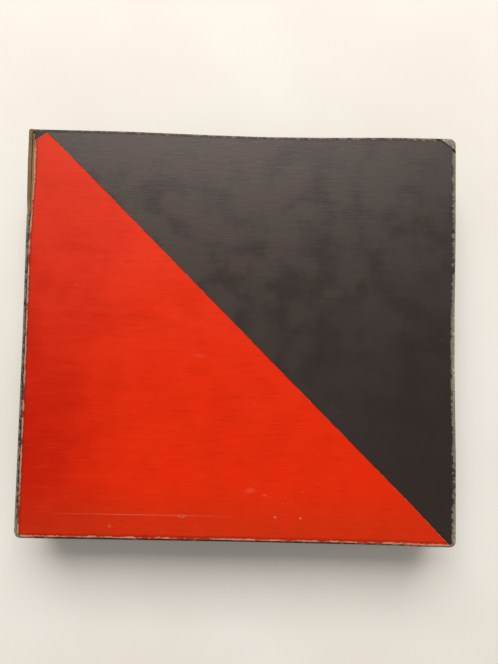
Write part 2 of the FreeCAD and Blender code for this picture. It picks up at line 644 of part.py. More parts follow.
def make_carrier(body, name, length):
    """A flight deck with cut corners on a hull, and an island with a mast at one side."""
    flight_deck = new_sketch(body, f"{name}_flight_plan", z="hull_height")
    rectangle(flight_deck, "deck_beam", f"{length} - 2 * deck_gauge")
    pad(body, flight_deck, f"{name}_flight_deck", "deck_gauge")
    soften(body, "Chamfer", f"{name}_deck_corners", "deck_chamfer", is_upright)
    make_hull(body, name, length)
    on_deck = "hull_height + deck_gauge"
    side = "deck_beam / 2 - house_beam / 4"
    add_house(body, f"{name}_island", "2 * house_beam", "house_beam / 2", "2 * house_height", "house_beam",
              side, on_deck)
    add_post(body, f"{name}_mast", "mast_radius", "mast_height - deck_gauge", "house_beam", side, on_deck)


def make_battleship(body, name, length):
    make_hull(body, name, length)
    lower_quarter_deck(body, name, length)
    add_house(body, f"{name}_house", "3 * house_beam", "house_beam", "house_height + quarter_drop",
              "-turret_radius", "0", "hull_height - quarter_drop")
    add_house(body, f"{name}_bridge", "house_beam", "house_beam * 3 / 4", "house_height", "house_beam / 4",
              foot="hull_height + house_height")
    add_post(body, f"{name}_funnel", "funnel_radius", "funnel_height", "-house_beam")
    add_turret(body, f"{name}_fore_turret", "(2 * house_beam - turret_radius / 2)", 1)
    add_turret(body, f"{name}_after_turret", f"-({length} / 2 - barrel_length - turret_radius / 2)", -1,
               "hull_height - quarter_drop")


def make_cruiser(body, name, length):
    make_hull(body, name, length)
    lower_quarter_deck(body, name, length)
    add_house(body, f"{name}_house", "2 * house_beam", "house_beam", "house_height + quarter_drop",
              "-house_beam / 4", "0", "hull_height - quarter_drop")
    add_post(body, f"{name}_fore_funnel", "funnel_radius", "funnel_height", "house_beam / 3")
    add_post(body, f"{name}_after_funnel", "funnel_radius", "funnel_height", "-house_beam * 4 / 5")
    add_turret(body, f"{name}_turret", "(house_beam + turret_radius)", 1)


def make_submarine(body, name, length):
    """A low hull with both its edges cut back, a narrow casing, a tower and a periscope."""
    make_hull(body, name, length)
    soften(body, "Chamfer", f"{name}_shoulder", "hull_tuck", at_top(body))
    add_house(body, f"{name}_casing", f"{length} - 2 * bow_length", "tower_beam", "casing_height")
    tower_foot = "hull_height + casing_height"
    add_house(body, f"{name}_tower", "tower_length", "tower_beam * 4 / 5", "tower_height", foot=tower_foot)
    add_post(body, f"{name}_periscope", "mast_radius", "mast_height - casing_height", "tower_length / 4", "0",
             tower_foot)


def make_destroyer(body, name, length):
    make_hull(body, name, length)
    lower_quarter_deck(body, name, length)
    add_house(body, f"{name}_house", "house_beam", "house_beam * 3 / 4", "house_height + quarter_drop",
              foot="hull_height - quarter_drop")
    add_post(body, f"{name}_funnel", "funnel_radius * 4 / 5", "funnel_height * 4 / 5 + quarter_drop",
             "-house_beam", foot="hull_height - quarter_drop")


MAKERS = {"carrier": make_carrier, "battleship": make_battleship, "cruiser": make_cruiser,
          "submarine": make_submarine, "destroyer": make_destroyer}


def make_fleet(side, middles):
    for (kind, cells), y in zip(SHIPS, middles):
        name = f"{FLEETS[side]}_{kind}"
        body = DOC.addObject("PartDesign::Body", f"{name}_body")
        MAKERS[kind](body, name, ship_length(cells))
        place(body, f"{side} * {LANE_X}", y, SHIP_FOOT)
        keep(body, name)


def make_counters(name, side, well_back):
    """Stacks of square markers that share out the front well of a lane."""
    well_front = f"(-{LANES_WIDTH} / 2)"
    pitch = f"(({well_back} - {well_front}) / {COUNTER_STACKS})"
    width = f"({pitch} - stack_gap)"
    markers = []
    for stack in range(COUNTER_STACKS):
        y = f"{well_front} + ({stack} + 1 / 2) * {pitch}"
        for layer in range(COUNTERS_PER_STACK):
            foot = f"{TRAY_FLOOR} + counter_gap + {layer} * (counter_gauge + counter_gap)"
            markers.append(box(f"{name}_{stack}_{layer}", width, width, "counter_gauge",
                               f"{side} * {LANE_X}", y, foot))
    keep(group(f"{name}_stacks", markers), name)


def check_and_write():
    DOC.recompute()
    for thing in DOC.Objects:
        if "Invalid" in thing.State or "Error" in thing.State:
            raise RuntimeError(f"{thing.Name} failed: {thing.State}")
    for part in SUB_PARTS:
        if part.Shape.isNull() or not part.Shape.isValid() or not part.Shape.Solids:
            raise RuntimeError(f"{part.Label} has no valid solid")
    os.makedirs("parts", exist_ok=True)
    for part in SUB_PARTS:
        part.Shape.exportStep(os.path.join("parts", f"{part.Label}.step"))
        print(f"{part.Label}: {len(part.Shape.Solids)} solids, {part.Shape.Volume:.1f} mm3")


def main():
    fill_sheet()
    make_lid()
    make_facings()
    make_base()
    middles, dividers, well_back = berths()
    make_fleet_tray()
    make_dividers(dividers)
    for side in (LEFT, RIGHT):
        make_platform(side)
        make_leaves(side)
        make_tapes(side)
        make_fleet(side, middles)
    make_counters("hit_counters", LEFT, well_back)
    make_counters("miss_counters", RIGHT, well_back)
    make_leaflet()
    check_and_write()


main()
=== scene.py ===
"""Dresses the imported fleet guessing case: worn set-up box, insert, boards, screens, ships and markers."""
import math
import random

import bmesh
import bpy
import numpy as np
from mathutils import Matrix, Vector, noise


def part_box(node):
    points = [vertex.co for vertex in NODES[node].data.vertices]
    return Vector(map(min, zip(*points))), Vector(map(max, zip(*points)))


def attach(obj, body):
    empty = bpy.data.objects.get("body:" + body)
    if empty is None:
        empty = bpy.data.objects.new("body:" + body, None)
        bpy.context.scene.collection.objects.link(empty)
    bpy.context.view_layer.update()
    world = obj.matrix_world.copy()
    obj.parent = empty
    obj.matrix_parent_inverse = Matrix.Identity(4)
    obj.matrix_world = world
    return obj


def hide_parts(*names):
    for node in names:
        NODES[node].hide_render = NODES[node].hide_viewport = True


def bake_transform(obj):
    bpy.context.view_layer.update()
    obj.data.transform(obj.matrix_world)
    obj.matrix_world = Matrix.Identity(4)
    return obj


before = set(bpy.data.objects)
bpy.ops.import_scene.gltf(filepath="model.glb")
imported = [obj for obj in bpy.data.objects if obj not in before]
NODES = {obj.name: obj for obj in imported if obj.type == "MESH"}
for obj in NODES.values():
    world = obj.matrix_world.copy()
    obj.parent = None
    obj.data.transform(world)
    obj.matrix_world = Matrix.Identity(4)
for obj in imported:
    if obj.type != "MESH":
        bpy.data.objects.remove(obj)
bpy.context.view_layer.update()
# A millimetre in metres; all other lengths here are in millimetres unless MM follows them
MM = 0.001
# Points closer than this become one
MERGE = 0.02
# Room the solids leave for the covering paper, and the gauges of paper, plate and walls
WRAP = 0.4
PAPER_GAUGE = 0.36
PLATE_GAUGE = 1.8
WALL_GAUGE = 1.9

# Lid
_, LID_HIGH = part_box("lid_board")
LID_X = LID_HIGH.x / MM + WRAP
LID_Y = LID_HIGH.y / MM + WRAP
LID_TOP = 43.8
LID_FOOT = 9.0
FOLD = 1.0
WALL = 2.6
BOARD_TOP = LID_HIGH.z / MM
SAG = 0.8
RIPPLE = 0.1
TUCK_STEP = 0.15
TUCK_LENGTH = 15
# How far each side of the old lid is drawn in: place along the side, millimetres
DRAWN_IN = {
    "left": ((-132, 0, 60, 85, 110, 132), (0.9, 1.1, 0.6, 0.5, 0.0, 0.0)),
    "right": ((-132, -75, -20, 20, 60, 132), (0.0, 0.1, 1.0, 1.1, 0.6, 0.6)),
    "back": ((-140, -75, -20, 15, 50, 100, 140), (0.7, 0.8, 1.9, 2.3, 1.9, 0.7, 0.6)),
    "front": ((-140, 0, 80, 105, 120, 140), (0.6, 0.95, 0.7, 0.4, 0.0, 0.0)),
}
# Share of the wear along the top edge of each side
EDGE_WEAR = {
    "left": ((-132, -120, -60, 60, 75, 132), (0.95, 0.6, 0.45, 0.5, 0.8, 1.0)),
    "right": ((-132, -115, -95, -60, -20, 10, 40, 80, 120, 132),
              (0.8, 0.7, 0.35, 0.6, 0.8, 0.75, 0.45, 0.5, 0.65, 0.8)),
    "back": ((-140, -60, 40, 100, 125, 140), (0.3, 0.4, 0.42, 0.42, 0.5, 0.75)),
    "front": ((-140, -120, -60, 60, 100, 140), (0.8, 0.3, 0.18, 0.25, 0.4, 0.7)),
}
CORNER_RADII = {"front_left": 4.4, "front_right": 4.0, "back_right": 4.6, "back_left": 1.7}
BOARD_RADII = dict(CORNER_RADII, back_left=1.3)


def lid_bend(points):
    """Draw the sides in and let the top sag: points before and after are millimetres."""
    x, y, z = points.T
    ease = np.interp(z, (LID_FOOT, 31, 41, 42.4), (0.5, 0.62, 0.8, 1.0))
    most = np.interp(z, (41, 42.4), (1.1, 3.0))
    near_x = np.clip(np.abs(x) / LID_X, 0, 1) ** 8
    near_y = np.clip(np.abs(y) / LID_Y, 0, 1) ** 8
    inward = {side: np.minimum(np.interp(x if side in ("front", "back") else y, *table) * ease, most)
              for side, table in DRAWN_IN.items()}
    for side in ("front", "back"):
        inward[side] = inward[side] + single_layer(x, LID_X) * (z < LID_TOP - FOLD)
    sag = SAG * (1 - np.clip(x / LID_X, -1, 1) ** 2) * (1 - np.clip(y / LID_Y, -1, 1) ** 2)
    ripple = RIPPLE * (1 + np.sin(x / 31 + y / 47) * np.cos(y / 29 - x / 83)) * (1 - near_x) * (1 - near_y)
    low = np.clip((z - 38) / 4, 0, 1)
    return np.column_stack((x + np.where(x < 0, inward["left"], -inward["right"]) * near_x,
                            y + np.where(y < 0, inward["front"], -inward["back"]) * near_y,
                            z - (sag + ripple) * low))


def single_layer(x, half_x):
    """The long walls lie lower where no flap of the short walls' paper is tucked under their own."""
    return TUCK_STEP * (1 - np.clip((np.abs(x) - half_x + TUCK_LENGTH) / 1.2, 0, 1))


def base_bend(points):
    """The base keeps its shape but for a slight wave in its walls."""
    x, y, z = points.T
    wave = 0.14 * (1 + np.sin(x / 23 + y / 19 + z / 17))
    near_x = np.clip(np.abs(x) / BASE_X, 0, 1) ** 12
    near_y = np.clip(np.abs(y) / BASE_Y, 0, 1) ** 12
    rise = np.clip((z - 2) / 20, 0, 1)
    return np.column_stack((x - np.sign(x) * wave * near_x * rise,
                            y - np.sign(y) * (wave + single_layer(x, BASE_X)) * near_y * rise,
                            z))


# Meshes
def put_in_scene(name, data):
    thing = bpy.data.objects.new(name, data)
    bpy.context.scene.collection.objects.link(thing)
    return thing


def new_piece(name, points, faces, material, smooth=True, merge=0.0, closed=False):
    """A mesh object from points in millimetres."""
    mesh = bpy.data.meshes.new(name)
    mesh.from_pydata([tuple(p) for p in np.asarray(points, float) * MM], [], faces)
    if merge:
        bm = bmesh.new()
        bm.from_mesh(mesh)
        bmesh.ops.remove_doubles(bm, verts=bm.verts, dist=merge * MM)
        bmesh.ops.dissolve_degenerate(bm, edges=bm.edges, dist=merge * MM)
        if closed:
            bmesh.ops.recalc_face_normals(bm, faces=bm.faces)
        bm.to_mesh(mesh)
        bm.free()
    mesh.polygons.foreach_set("use_smooth", [smooth] * len(mesh.polygons))
    mesh.materials.append(material)
    return put_in_scene(name, mesh)


def attribute(thing, name, values):
    """Store one number for each vertex."""
    data = thing.data.attributes.new(name, "FLOAT", "POINT")
    data.data.foreach_set("value", np.asarray(values, np.float32))


def vertices(thing):
    """The vertices in millimetres."""
    flat = np.zeros(len(thing.data.vertices) * 3)
    thing.data.vertices.foreach_get("co", flat)
    return flat.reshape(-1, 3) / MM


def move_vertices(thing, points):
    thing.data.vertices.foreach_set("co", (np.asarray(points) * MM).ravel())
    thing.data.update()


def thicken(thing, thickness, offset=-1.0, smooth=True):
    """Give a sheet its gauge; smooth shading then follows the sheet's faces and not its cut edges."""
    modifier = thing.modifiers.new("thickness", "SOLIDIFY")
    modifier.thickness = thickness * MM
    modifier.offset = offset
    if smooth:
        thing.modifiers.new("shading", "WEIGHTED_NORMAL").weight = 100


def bevel(thing, width):
    modifier = thing.modifiers.new("edges", "BEVEL")
    modifier.width = width * MM
    modifier.segments = 2
    modifier.limit_method = "ANGLE"
    modifier.angle_limit = math.radians(35)


def settle(thing, body, slot, *nodes):
    """Ride on a body and stand for CAD nodes, which it hides; slot is not used."""
    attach(thing, body)
    if nodes:
        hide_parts(*nodes)


def dress(node, material, edge=0.0):
    """Give a CAD node one material and soft edges."""
    thing = NODES[node]
    thing.data.materials.clear()
    thing.data.materials.append(material)
    if edge:
        bevel(thing, edge)


def fibre(x, y, z=0.0):
    """Noise from -1 to 1 for ragged edges."""
    return noise.noise(Vector((x, y, z)))


# Skins of boxes: rings that run round the box, one for each point of a profile
def side_places(count):
    """Places along a side from 0 to 1, closer together near its ends."""
    t = np.linspace(0, 1, count + 2)[1:-1]
    return t - 0.6 * np.sin(2 * np.pi * t) / (2 * np.pi)


def ring_columns(along_x, along_y, arc=6):
    """Columns round a box from the front left: each a corner with an angle, or a side with a place."""
    corners = ("front_left", "front_right", "back_right", "back_left")
    turns = {"front_left": 180, "front_right": 270, "back_right": 0, "back_left": 90}
    counts = (along_x, along_y, along_x, along_y)
    columns = []
    for number, corner in enumerate(corners):
        for step in range(arc + 1):
            columns.append((corner, None, math.radians(turns[corner] + 90 * step / arc)))
        for t in side_places(counts[number]):
            columns.append((corner, corners[(number + 1) % 4], t))
    return columns


def column_point(column, inset, half_x, half_y, radii):
    """Where a column is at an inset from the outline of a box."""
    def corner_point(corner, angle):
        radius = max(radii[corner] - inset, 0.0)
        x = (half_x - inset - radius) * (1 if "right" in corner else -1)
        y = (half_y - inset - radius) * (1 if "back" in corner else -1)
        return np.array((x + radius * math.cos(angle), y + radius * math.sin(angle)))
    corner, following, place = column
    if following is None:
        return corner_point(corner, place)
    leave = {"front_left": 270, "front_right": 0, "back_right": 90, "back_left": 180}[corner]
    first = corner_point(corner, math.radians(leave))
    last = corner_point(following, math.radians(leave))
    return first + (last - first) * place


def skin(columns, profiles, half_x, half_y, radii, skip=lambda number, after, ring: False):
    """Points and faces of rings that follow each column's profile of insets and heights."""
    points = []
    for column, profile in zip(columns, profiles):
        for inset, z in profile:
            x, y = column_point(column, inset, half_x, half_y, radii)
            points.append((x, y, z))
    rings = len(profiles[0])
    faces = []
    for number in range(len(columns)):
        after = (number + 1) % len(columns)
        for ring in range(rings - 1):
            if not skip(number, after, ring):
                faces.append((number * rings + ring, number * rings + ring + 1,
                              after * rings + ring + 1, after * rings + ring))
    return points, faces


def plate_grid(columns, inset, z, half_x, half_y, radii, start):
    """A grid that fills the innermost ring; its border lies on the ring's points."""
    def along(corner, following, axis):
        side = [column for column in columns if column[:2] == (corner, following)]
        stops = [(corner, None, 0.0), *side, (following, None, 0.0)]
        return [column_point(stop, inset, half_x, half_y, radii)[axis] for stop in stops]
    xs = along("front_left", "front_right", 0)
    ys = along("front_right", "back_right", 1)
    points = [(x, y, z) for y in ys for x in xs]
    wide = len(xs)
    firsts = [start + j * wide + i for j in range(len(ys) - 1) for i in range(wide - 1)]
    faces = [(first, first + 1, first + wide + 1, first + wide) for first in firsts]
    return points, faces


# Shaders
class Graph:
    """A material and short names for the nodes in it."""

    def __init__(self, name, **sockets):
        self.material = bpy.data.materials.new(name)
        self.material.use_nodes = True
        self.tree = self.material.node_tree
        self.shader = self.tree.nodes["Principled BSDF"]
        for socket, value in sockets.items():
            self.shader.inputs[socket.replace("_", " ")].default_value = value

    def node(self, kind, settings=None, **inputs):
        made = self.tree.nodes.new("ShaderNode" + kind)
        for key, value in (settings or {}).items():
            setattr(made, key, value)
        for key, value in inputs.items():
            numbered = key[0] == "i" and key[1:].isdigit()
            self.put(made.inputs[int(key[1:]) if numbered else key], value)
        return made

    def put(self, socket, value):
        if isinstance(value, bpy.types.NodeSocket):
            self.tree.links.new(value, socket)
        else:
            socket.default_value = value

    def place(self, scale=(1, 1, 1)):
        """Object coordinates in millimetres, scaled."""
        coordinates = self.node("TexCoord").outputs["Object"]
        return self.node("Mapping", Vector=coordinates, Scale=tuple(s / MM for s in scale)).outputs[0]

    def noise(self, vector, scale=1.0, detail=4.0, rough=0.5, warp=0.0):
        made = self.node("TexNoise", Vector=vector, Scale=scale, Detail=detail, Roughness=rough,
                         Distortion=warp)
        return made.outputs[0]

    def math(self, operation, first, second=0.0, clamp=False):
        made = self.node("Math", {"operation": operation, "use_clamp": clamp}, i0=first, i1=second)
        return made.outputs[0]

    def total(self, *terms):
        """The sum of values, each times its weight."""
        first, *others = [self.math("MULTIPLY", value, weight) for value, weight in terms]
        for other in others:
            first = self.math("ADD", first, other)
        return first

    def jitter(self, value, grain, reach):
        """A value that a grain from 0 to 1 moves to and fro."""
        return self.math("ADD", value, self.math("MULTIPLY", self.math("SUBTRACT", grain, 0.5), reach))

    def ramp(self, value, low, high, start=0.0, end=1.0):
        """Smooth step from low to high."""
        made = self.node("MapRange", {"interpolation_type": "SMOOTHSTEP"}, Value=value,
                         i1=low, i2=high, i3=start, i4=end)
        return made.outputs[0]

    def mix(self, share, first, second):
        """From the first colour to the second; inputs 6 and 7 and output 2 are the node's colours."""
        made = self.node("Mix", {"data_type": "RGBA"}, i0=share)
        for number, value in ((6, first), (7, second)):
            linked = isinstance(value, bpy.types.NodeSocket)
            self.put(made.inputs[number], value if linked else (*value, 1.0))
        return made.outputs[2]

    def attribute(self, name):
        return self.node("Attribute", {"attribute_name": name}).outputs["Fac"]

    def split(self, vector):
        return self.node("SeparateXYZ", i0=vector).outputs

    def finish(self, colour, rough=None, height=None, strength=0.4, distance=0.1):
        self.put(self.shader.inputs["Base Color"], colour)
        if rough is not None:
            self.put(self.shader.inputs["Roughness"], rough)
        if height is not None:
            bump = self.node("Bump", Height=height, Strength=strength, Distance=distance * MM)
            self.put(self.shader.inputs["Normal"], bump.outputs[0])
        return self.material


def rgb(red, green, blue):
    """A colour written as it looks on a screen, 0 to 255, as linear light."""
    def linear(value):
        value /= 255
        return value / 12.92 if value <= 0.04045 else ((value + 0.055) / 1.055) ** 2.4
    return tuple(linear(value) for value in (red, green, blue))


def dim(colour, share):
    return tuple(share * value for value in colour)


def paper_grain(g):
    """Ribs along X, fibres and clouds that every covering paper here shares."""
    ribs = g.noise(g.place((0.07, 0.8, 0.8)), 1.0, 3.0, 0.6)
    streaks = g.noise(g.place((0.016, 0.16, 0.16)), 1.0, 4.0, 0.6)
    fine = g.noise(g.place(), 3.2, 3.0, 0.6)
    clouds = g.noise(g.place(), 0.022, 5.0, 0.6, 0.4)
    return ribs, streaks, fine, clouds


def cover_paper(name, dark, light, worn, bare):
    """Black covering paper, rubbed along its folds down to grey and to the bare board, with a painted shadow
    along its torn edge.
    """
    g = Graph(name, Specular_IOR_Level=0.35)
    ribs, streaks, fine, clouds = paper_grain(g)
    chips = g.noise(g.place((0.35, 0.35, 0.35)), 1.0, 6.0, 0.7)
    flakes = g.noise(g.place((0.9, 0.9, 0.9)), 1.0, 4.0, 0.65)
    tone = g.total((clouds, 0.7), (streaks, 0.3))
    colour = g.mix(g.ramp(tone, 0.35, 0.66), dark, light)
    colour = g.mix(g.ramp(fine, 0.66, 0.78, 0.0, 0.25), colour, worn)
    rubbed = g.attribute("wear")
    grey = g.ramp(g.jitter(rubbed, chips, 1.5), 0.32, 0.62)
    pale = g.ramp(g.jitter(rubbed, flakes, 1.6), 0.78, 1.02)
    colour = g.mix(grey, colour, worn)
    colour = g.mix(pale, colour, bare)
    # Painted shadow: a dark band along the tear, where the lifted edge of the paper would shade
    colour = g.mix(g.ramp(g.attribute("torn"), 0.3, 0.8), colour, dim(dark, 0.3))
    rough = g.math("ADD", g.ramp(clouds, 0.3, 0.7, 0.44, 0.56), g.math("MULTIPLY", grey, 0.3), clamp=True)
    height = g.total((ribs, 0.7), (fine, 0.4), (pale, -0.8))
    return g.finish(colour, rough, height, 0.35, 0.12)


def bare_board(name, dark, light, plies=0.0):
    """Straw board or card: flecks, fibres and the lines of its plies at a torn edge."""
    g = Graph(name, Specular_IOR_Level=0.2)
    flecks = g.noise(g.place(), 0.9, 6.0, 0.7)
    fibres = g.noise(g.place((0.25, 1.6, 1.6)), 1.0, 4.0, 0.6)
    blotches = g.noise(g.place(), 0.03, 4.0, 0.55)
    colour = g.mix(g.ramp(g.total((flecks, 0.45), (blotches, 0.55)), 0.36, 0.64), dark, light)
    colour = g.mix(g.ramp(fibres, 0.62, 0.74, 0.0, 0.5), colour, dim(dark, 0.6))
    if plies:
        z = g.split(g.place())[2]
        lines = g.math("SINE", g.math("MULTIPLY", g.math("ADD", z, flecks), plies))
        colour = g.mix(g.ramp(lines, 0.2, 0.9, 0.0, 0.35), colour, dim(dark, 0.45))
    rough = g.ramp(flecks, 0.3, 0.7, 0.78, 0.92)
    return g.finish(colour, rough, g.total((flecks, 1.0), (fibres, 0.6)), 0.5, 0.15)


def ruled_border(g, colour, edge, rules, ink, fresh):
    """Print lines at distances from the edge, each (distance, half width), where the ink is still fresh."""
    for distance, width in rules:
        line = g.ramp(g.math("ABSOLUTE", g.math("SUBTRACT", edge, distance)), width, 0.6 * width)
        colour = g.mix(g.math("MULTIPLY", line, fresh), colour, ink)
    return colour


BLACK_PAPER = cover_paper("covering_paper", rgb(36, 27, 24), rgb(48, 39, 35), rgb(122, 113, 98),
                          rgb(186, 172, 150))
KRAFT_BOARD = bare_board("straw_board", rgb(118, 88, 52), rgb(158, 131, 96), plies=9.0)
STAY_PAPER = bare_board("kraft_stay", rgb(120, 96, 66), rgb(150, 124, 90))
CARD = bare_board("folding_card", rgb(150, 128, 92), rgb(183, 163, 126))


# Lid
TORN_CORNER = ((126.3, 131.6), (136.9, 124.0))
LID_COLUMNS = ring_columns(104, 98)
TOP_INSETS = (12.0, 9.0, 7.2, 5.8, 4.8, 4.2, 3.2, 2.4, 1.6, FOLD)
TORN_RING = 5
TEAR_START = 73
FOLD_STEPS = 6
WALL_LEVELS = (41.6, 40.0, 37.5, 33.5, 29.0, 24.0, 19.0, 15.0, 12.0, 10.6)
WALL_TORN = 2
RIM_STEPS = 6
TURN_IN_LEVELS = (11.5, 14.0, 17.0, 20.0, 22.5, 24.2)
PLATE_RING = 12.0
PLATE_FOOT = BOARD_TOP - PLATE_GAUGE
SPLIT = 0.5
STAY_LEG = 18
STAY_INSET = 0.3
STAY_LEVELS = (10.0, 20.0, 30.0, 40.0, 42.0)


def tears(x, y):
    """Inset and height of the torn paper's two edges at a place on the outline; nothing where it is whole."""
    past_corner = x > -LID_X + 3.4 and y > LID_Y - 6
    if x < -LID_X + 6 and y > TEAR_START and not past_corner:
        share = min((y - TEAR_START) / 14, 1.0)
        whole = max(min((LID_Y - 5 - y) / 8, 1.0), 0.0)
        inset = TOP_INSETS[TORN_RING] - 2.3 * (1 - share ** 0.7) + 0.45 * fibre(y * 0.32, 3.1) * share * whole
        level = 41.2 - 4.6 * share * (1 + 0.5 * fibre(y * 0.11, 8.2)) + 0.8 * fibre(y * 0.6, 1.7)
        return inset, level
    return None


def lid_profile(column):
    """The profile of the lid's covering at one column, from the top inwards to the end of the turn-in."""
    torn = tears(*column_point(column, 0.0, LID_X, LID_Y, CORNER_RADII))
    insets = np.array(TOP_INSETS)
    levels = np.array(WALL_LEVELS)
    if torn:
        inner = insets[:TORN_RING + 1]
        insets[:TORN_RING + 1] = inner[0] - (inner[0] - inner) * (inner[0] - torn[0]) / (inner[0] - inner[-1])
        lower = levels[WALL_TORN:]
        levels[WALL_TORN:] = lower[-1] + (lower - lower[-1]) * (torn[1] - lower[-1]) / (lower[0] - lower[-1])
    profile = [(inset, LID_TOP) for inset in insets]
    for step in range(1, FOLD_STEPS):
        angle = math.pi / 2 * step / FOLD_STEPS
        profile.append((FOLD * (1 - math.sin(angle)), LID_TOP - FOLD + FOLD * math.cos(angle)))
    profile += [(0.0, z) for z in levels]
    half = WALL / 2
    for step in range(1, RIM_STEPS):
        angle = math.pi * step / RIM_STEPS
        profile.append((half - half * math.cos(angle), LID_FOOT + half - half * math.sin(angle)))
    profile += [(WALL, z) for z in TURN_IN_LEVELS]
    return profile, bool(torn)


def make_lid_cover():
    """The covering paper, open along its tears."""
    shaped = [lid_profile(column) for column in LID_COLUMNS]
    last_torn = len(TOP_INSETS) + FOLD_STEPS - 1 + WALL_TORN

    def skip(number, after, ring):
        return shaped[number][1] and shaped[after][1] and TORN_RING <= ring < last_torn
    points, faces = skin(LID_COLUMNS, [profile for profile, _ in shaped], LID_X, LID_Y, CORNER_RADII, skip)
    more, grid = plate_grid(LID_COLUMNS, TOP_INSETS[0], LID_TOP, LID_X, LID_Y, CORNER_RADII, len(points))
    cover = new_piece("lid_cover", points + more, faces + grid, BLACK_PAPER, merge=MERGE)
    flat = vertices(cover)
    attribute(cover, "wear", [lid_wear(*point) for point in flat])
    # Closeness to the tear, which places the painted shadow along it
    attribute(cover, "torn", [math.exp(-((past_tear(*point) - 0.4) / 1.3) ** 2) for point in flat])
    move_vertices(cover, lid_bend(flat))
    thicken(cover, PAPER_GAUGE)
    settle(cover, "lid", "black_paper", "lid_wrap")


def past_tear(x, y, z):
    """How far a place on the lid's top lies beyond the tear across its back right corner."""
    (ax, ay), (bx, by) = TORN_CORNER
    along_x, along_y = bx - ax, by - ay
    beyond = ((y - ay) * along_x - (x - ax) * along_y) / math.hypot(along_x, along_y)
    on_top = z > LID_TOP - 0.2
    return beyond + 0.5 * fibre(x * 0.7, y * 0.7, 9.0) if on_top else -99.0


def side_share(table, x, y):
    """Wear of the nearest side at a place on the lid."""
    gaps = {"left": LID_X + x, "right": LID_X - x, "front": LID_Y + y, "back": LID_Y - y}
    side = min(gaps, key=gaps.get)
    return np.interp(x if side in ("front", "back") else y, *table[side])


def lid_wear(x, y, z):
    """Rubbed most along the folds, less along the rim."""
    inset = min(LID_X - abs(x), LID_Y - abs(y))
    if inset > 8 or inset > WALL - 0.1 and z < 40:
        return 0.0
    fold = math.hypot(inset - 0.5, min(z - LID_TOP + 0.5, 0.0))
    corner = min(max(abs(x) - LID_X + 8, 0), max(abs(y) - LID_Y + 8, 0)) / 8
    rim = math.exp(-((z - LID_FOOT) / 1.3) ** 2) * 0.42
    share = side_share(EDGE_WEAR, x, y)
    edge = share * math.exp(-(fold / (2.8 if LID_X - x < LID_Y - abs(y) else 2.0)) ** 2)
    upright = 0.7 * math.exp(-((corner - 0.95) / 0.2) ** 2)
    frayed = 0.72 if past_tear(x, y, z) > 1.2 else 0.0
    return max(edge, rim, frayed, upright if inset < 1.5 else 0.0) + 0.08


def wall_profile(column, inset, inner):
    """A wall of the lid's board; where its paper is torn off it has swollen up to the outline."""
    x, y = column_point(column, 0.0, LID_X, LID_Y, BOARD_RADII)
    bare = max(min((y - TEAR_START) / 12, 1.0), 0.0) if x < -LID_X + 3 else 0.0
    out = inset * (1 - bare)
    top = BOARD_TOP + bare * (0.3 + 0.25 * fibre(y * 0.4, 6.0))
    soft = 0.9 - 0.7 * bare
    inner -= 0.02
    edge = [(inner, 40.0), (inner, top - 0.5), (inner - 0.35, top - 0.15), (out + soft, top - 0.1),
            (out + 0.3 * soft, top - 0.35 * soft), (out, top - 1.1 * soft), (out, 40.0)]
    outside = [(inset, z) for z in (33.0, 20.0, 9.8)]
    inside = [(inner - 0.04, z) for z in (9.8, 20.0, 31.0)]
    return [*edge, *outside, *inside, edge[0]]


def plate_profile(column, inner):
    """The plate's edge at one column; it stands off from the wall along the split at the back left."""
    x, y = column_point(column, 0.0, LID_X, LID_Y, CORNER_RADII)
    opening = SPLIT * max(min((y - 78) / 30, 1.0), 0.0) if x < -LID_X + 5 else 0.0
    edge = inner + opening
    return [(PLATE_RING, BOARD_TOP), (6.0, BOARD_TOP), (edge + 0.4, BOARD_TOP),
            (edge + 0.1, BOARD_TOP - 0.12), (edge, BOARD_TOP - 0.4),
            (edge, PLATE_FOOT), (PLATE_RING, PLATE_FOOT)]


def make_lid_board():
    """The board under the paper: a plate and four walls."""
    inner = PAPER_GAUGE + WALL_GAUGE
    profiles = [plate_profile(column, inner) for column in LID_COLUMNS]
    points, faces = skin(LID_COLUMNS, profiles, LID_X, LID_Y, CORNER_RADII)
    for level in (BOARD_TOP, PLATE_FOOT):
        more, grid = plate_grid(LID_COLUMNS, PLATE_RING, level, LID_X, LID_Y, CORNER_RADII, len(points))
        points, faces = points + more, faces + grid
    plate = new_piece("lid_plate", points, faces, KRAFT_BOARD, merge=MERGE, closed=True)
    profiles = [wall_profile(column, PAPER_GAUGE, inner) for column in LID_COLUMNS]
    points, faces = skin(LID_COLUMNS, profiles, LID_X, LID_Y, BOARD_RADII)
    walls = new_piece("lid_walls", points, faces, KRAFT_BOARD, merge=MERGE, closed=True)
    for slab in (plate, walls):
        move_vertices(slab, lid_bend(vertices(slab)))
        settle(slab, "lid", "greyboard", "lid_board")


def make_lid_stays():
    """Kraft paper stays round the corners, between board and covering."""
    points, faces = [], []
    steps = range(0, STAY_LEG, 3)
    path = [(LID_X - STAY_LEG + step, LID_Y - STAY_INSET) for step in steps]
    path += [(LID_X - STAY_INSET, LID_Y - STAY_LEG + step) for step in reversed(steps)]
    rings = len(STAY_LEVELS)
    for corner in CORNER_RADII:
        side_x = 1 if "right" in corner else -1
        side_y = 1 if "back" in corner else -1
        start = len(points)
        points += [(side_x * x, side_y * y, z) for x, y in path for z in STAY_LEVELS]
        for column in range(len(path) - 1):
            for ring in range(rings - 1):
                a = start + column * rings + ring
                faces.append((a, a + 1, a + rings + 1, a + rings))
    stays = new_piece("lid_stays", points, faces, STAY_PAPER)
    move_vertices(stays, lid_bend(vertices(stays)))
    thicken(stays, 0.12, 0.0)
    settle(stays, "lid", "kraft", "lid_corner_stays")


FACING_LOW, FACING_HIGH = (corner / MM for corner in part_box("lid_facing_red"))
DIAGONAL_LEAD = 7.8
TIP_CUT = 5.6
FACING_LIFT = 0.2
FACING_GAUGE = 0.18
SPREAD_REACH = 25
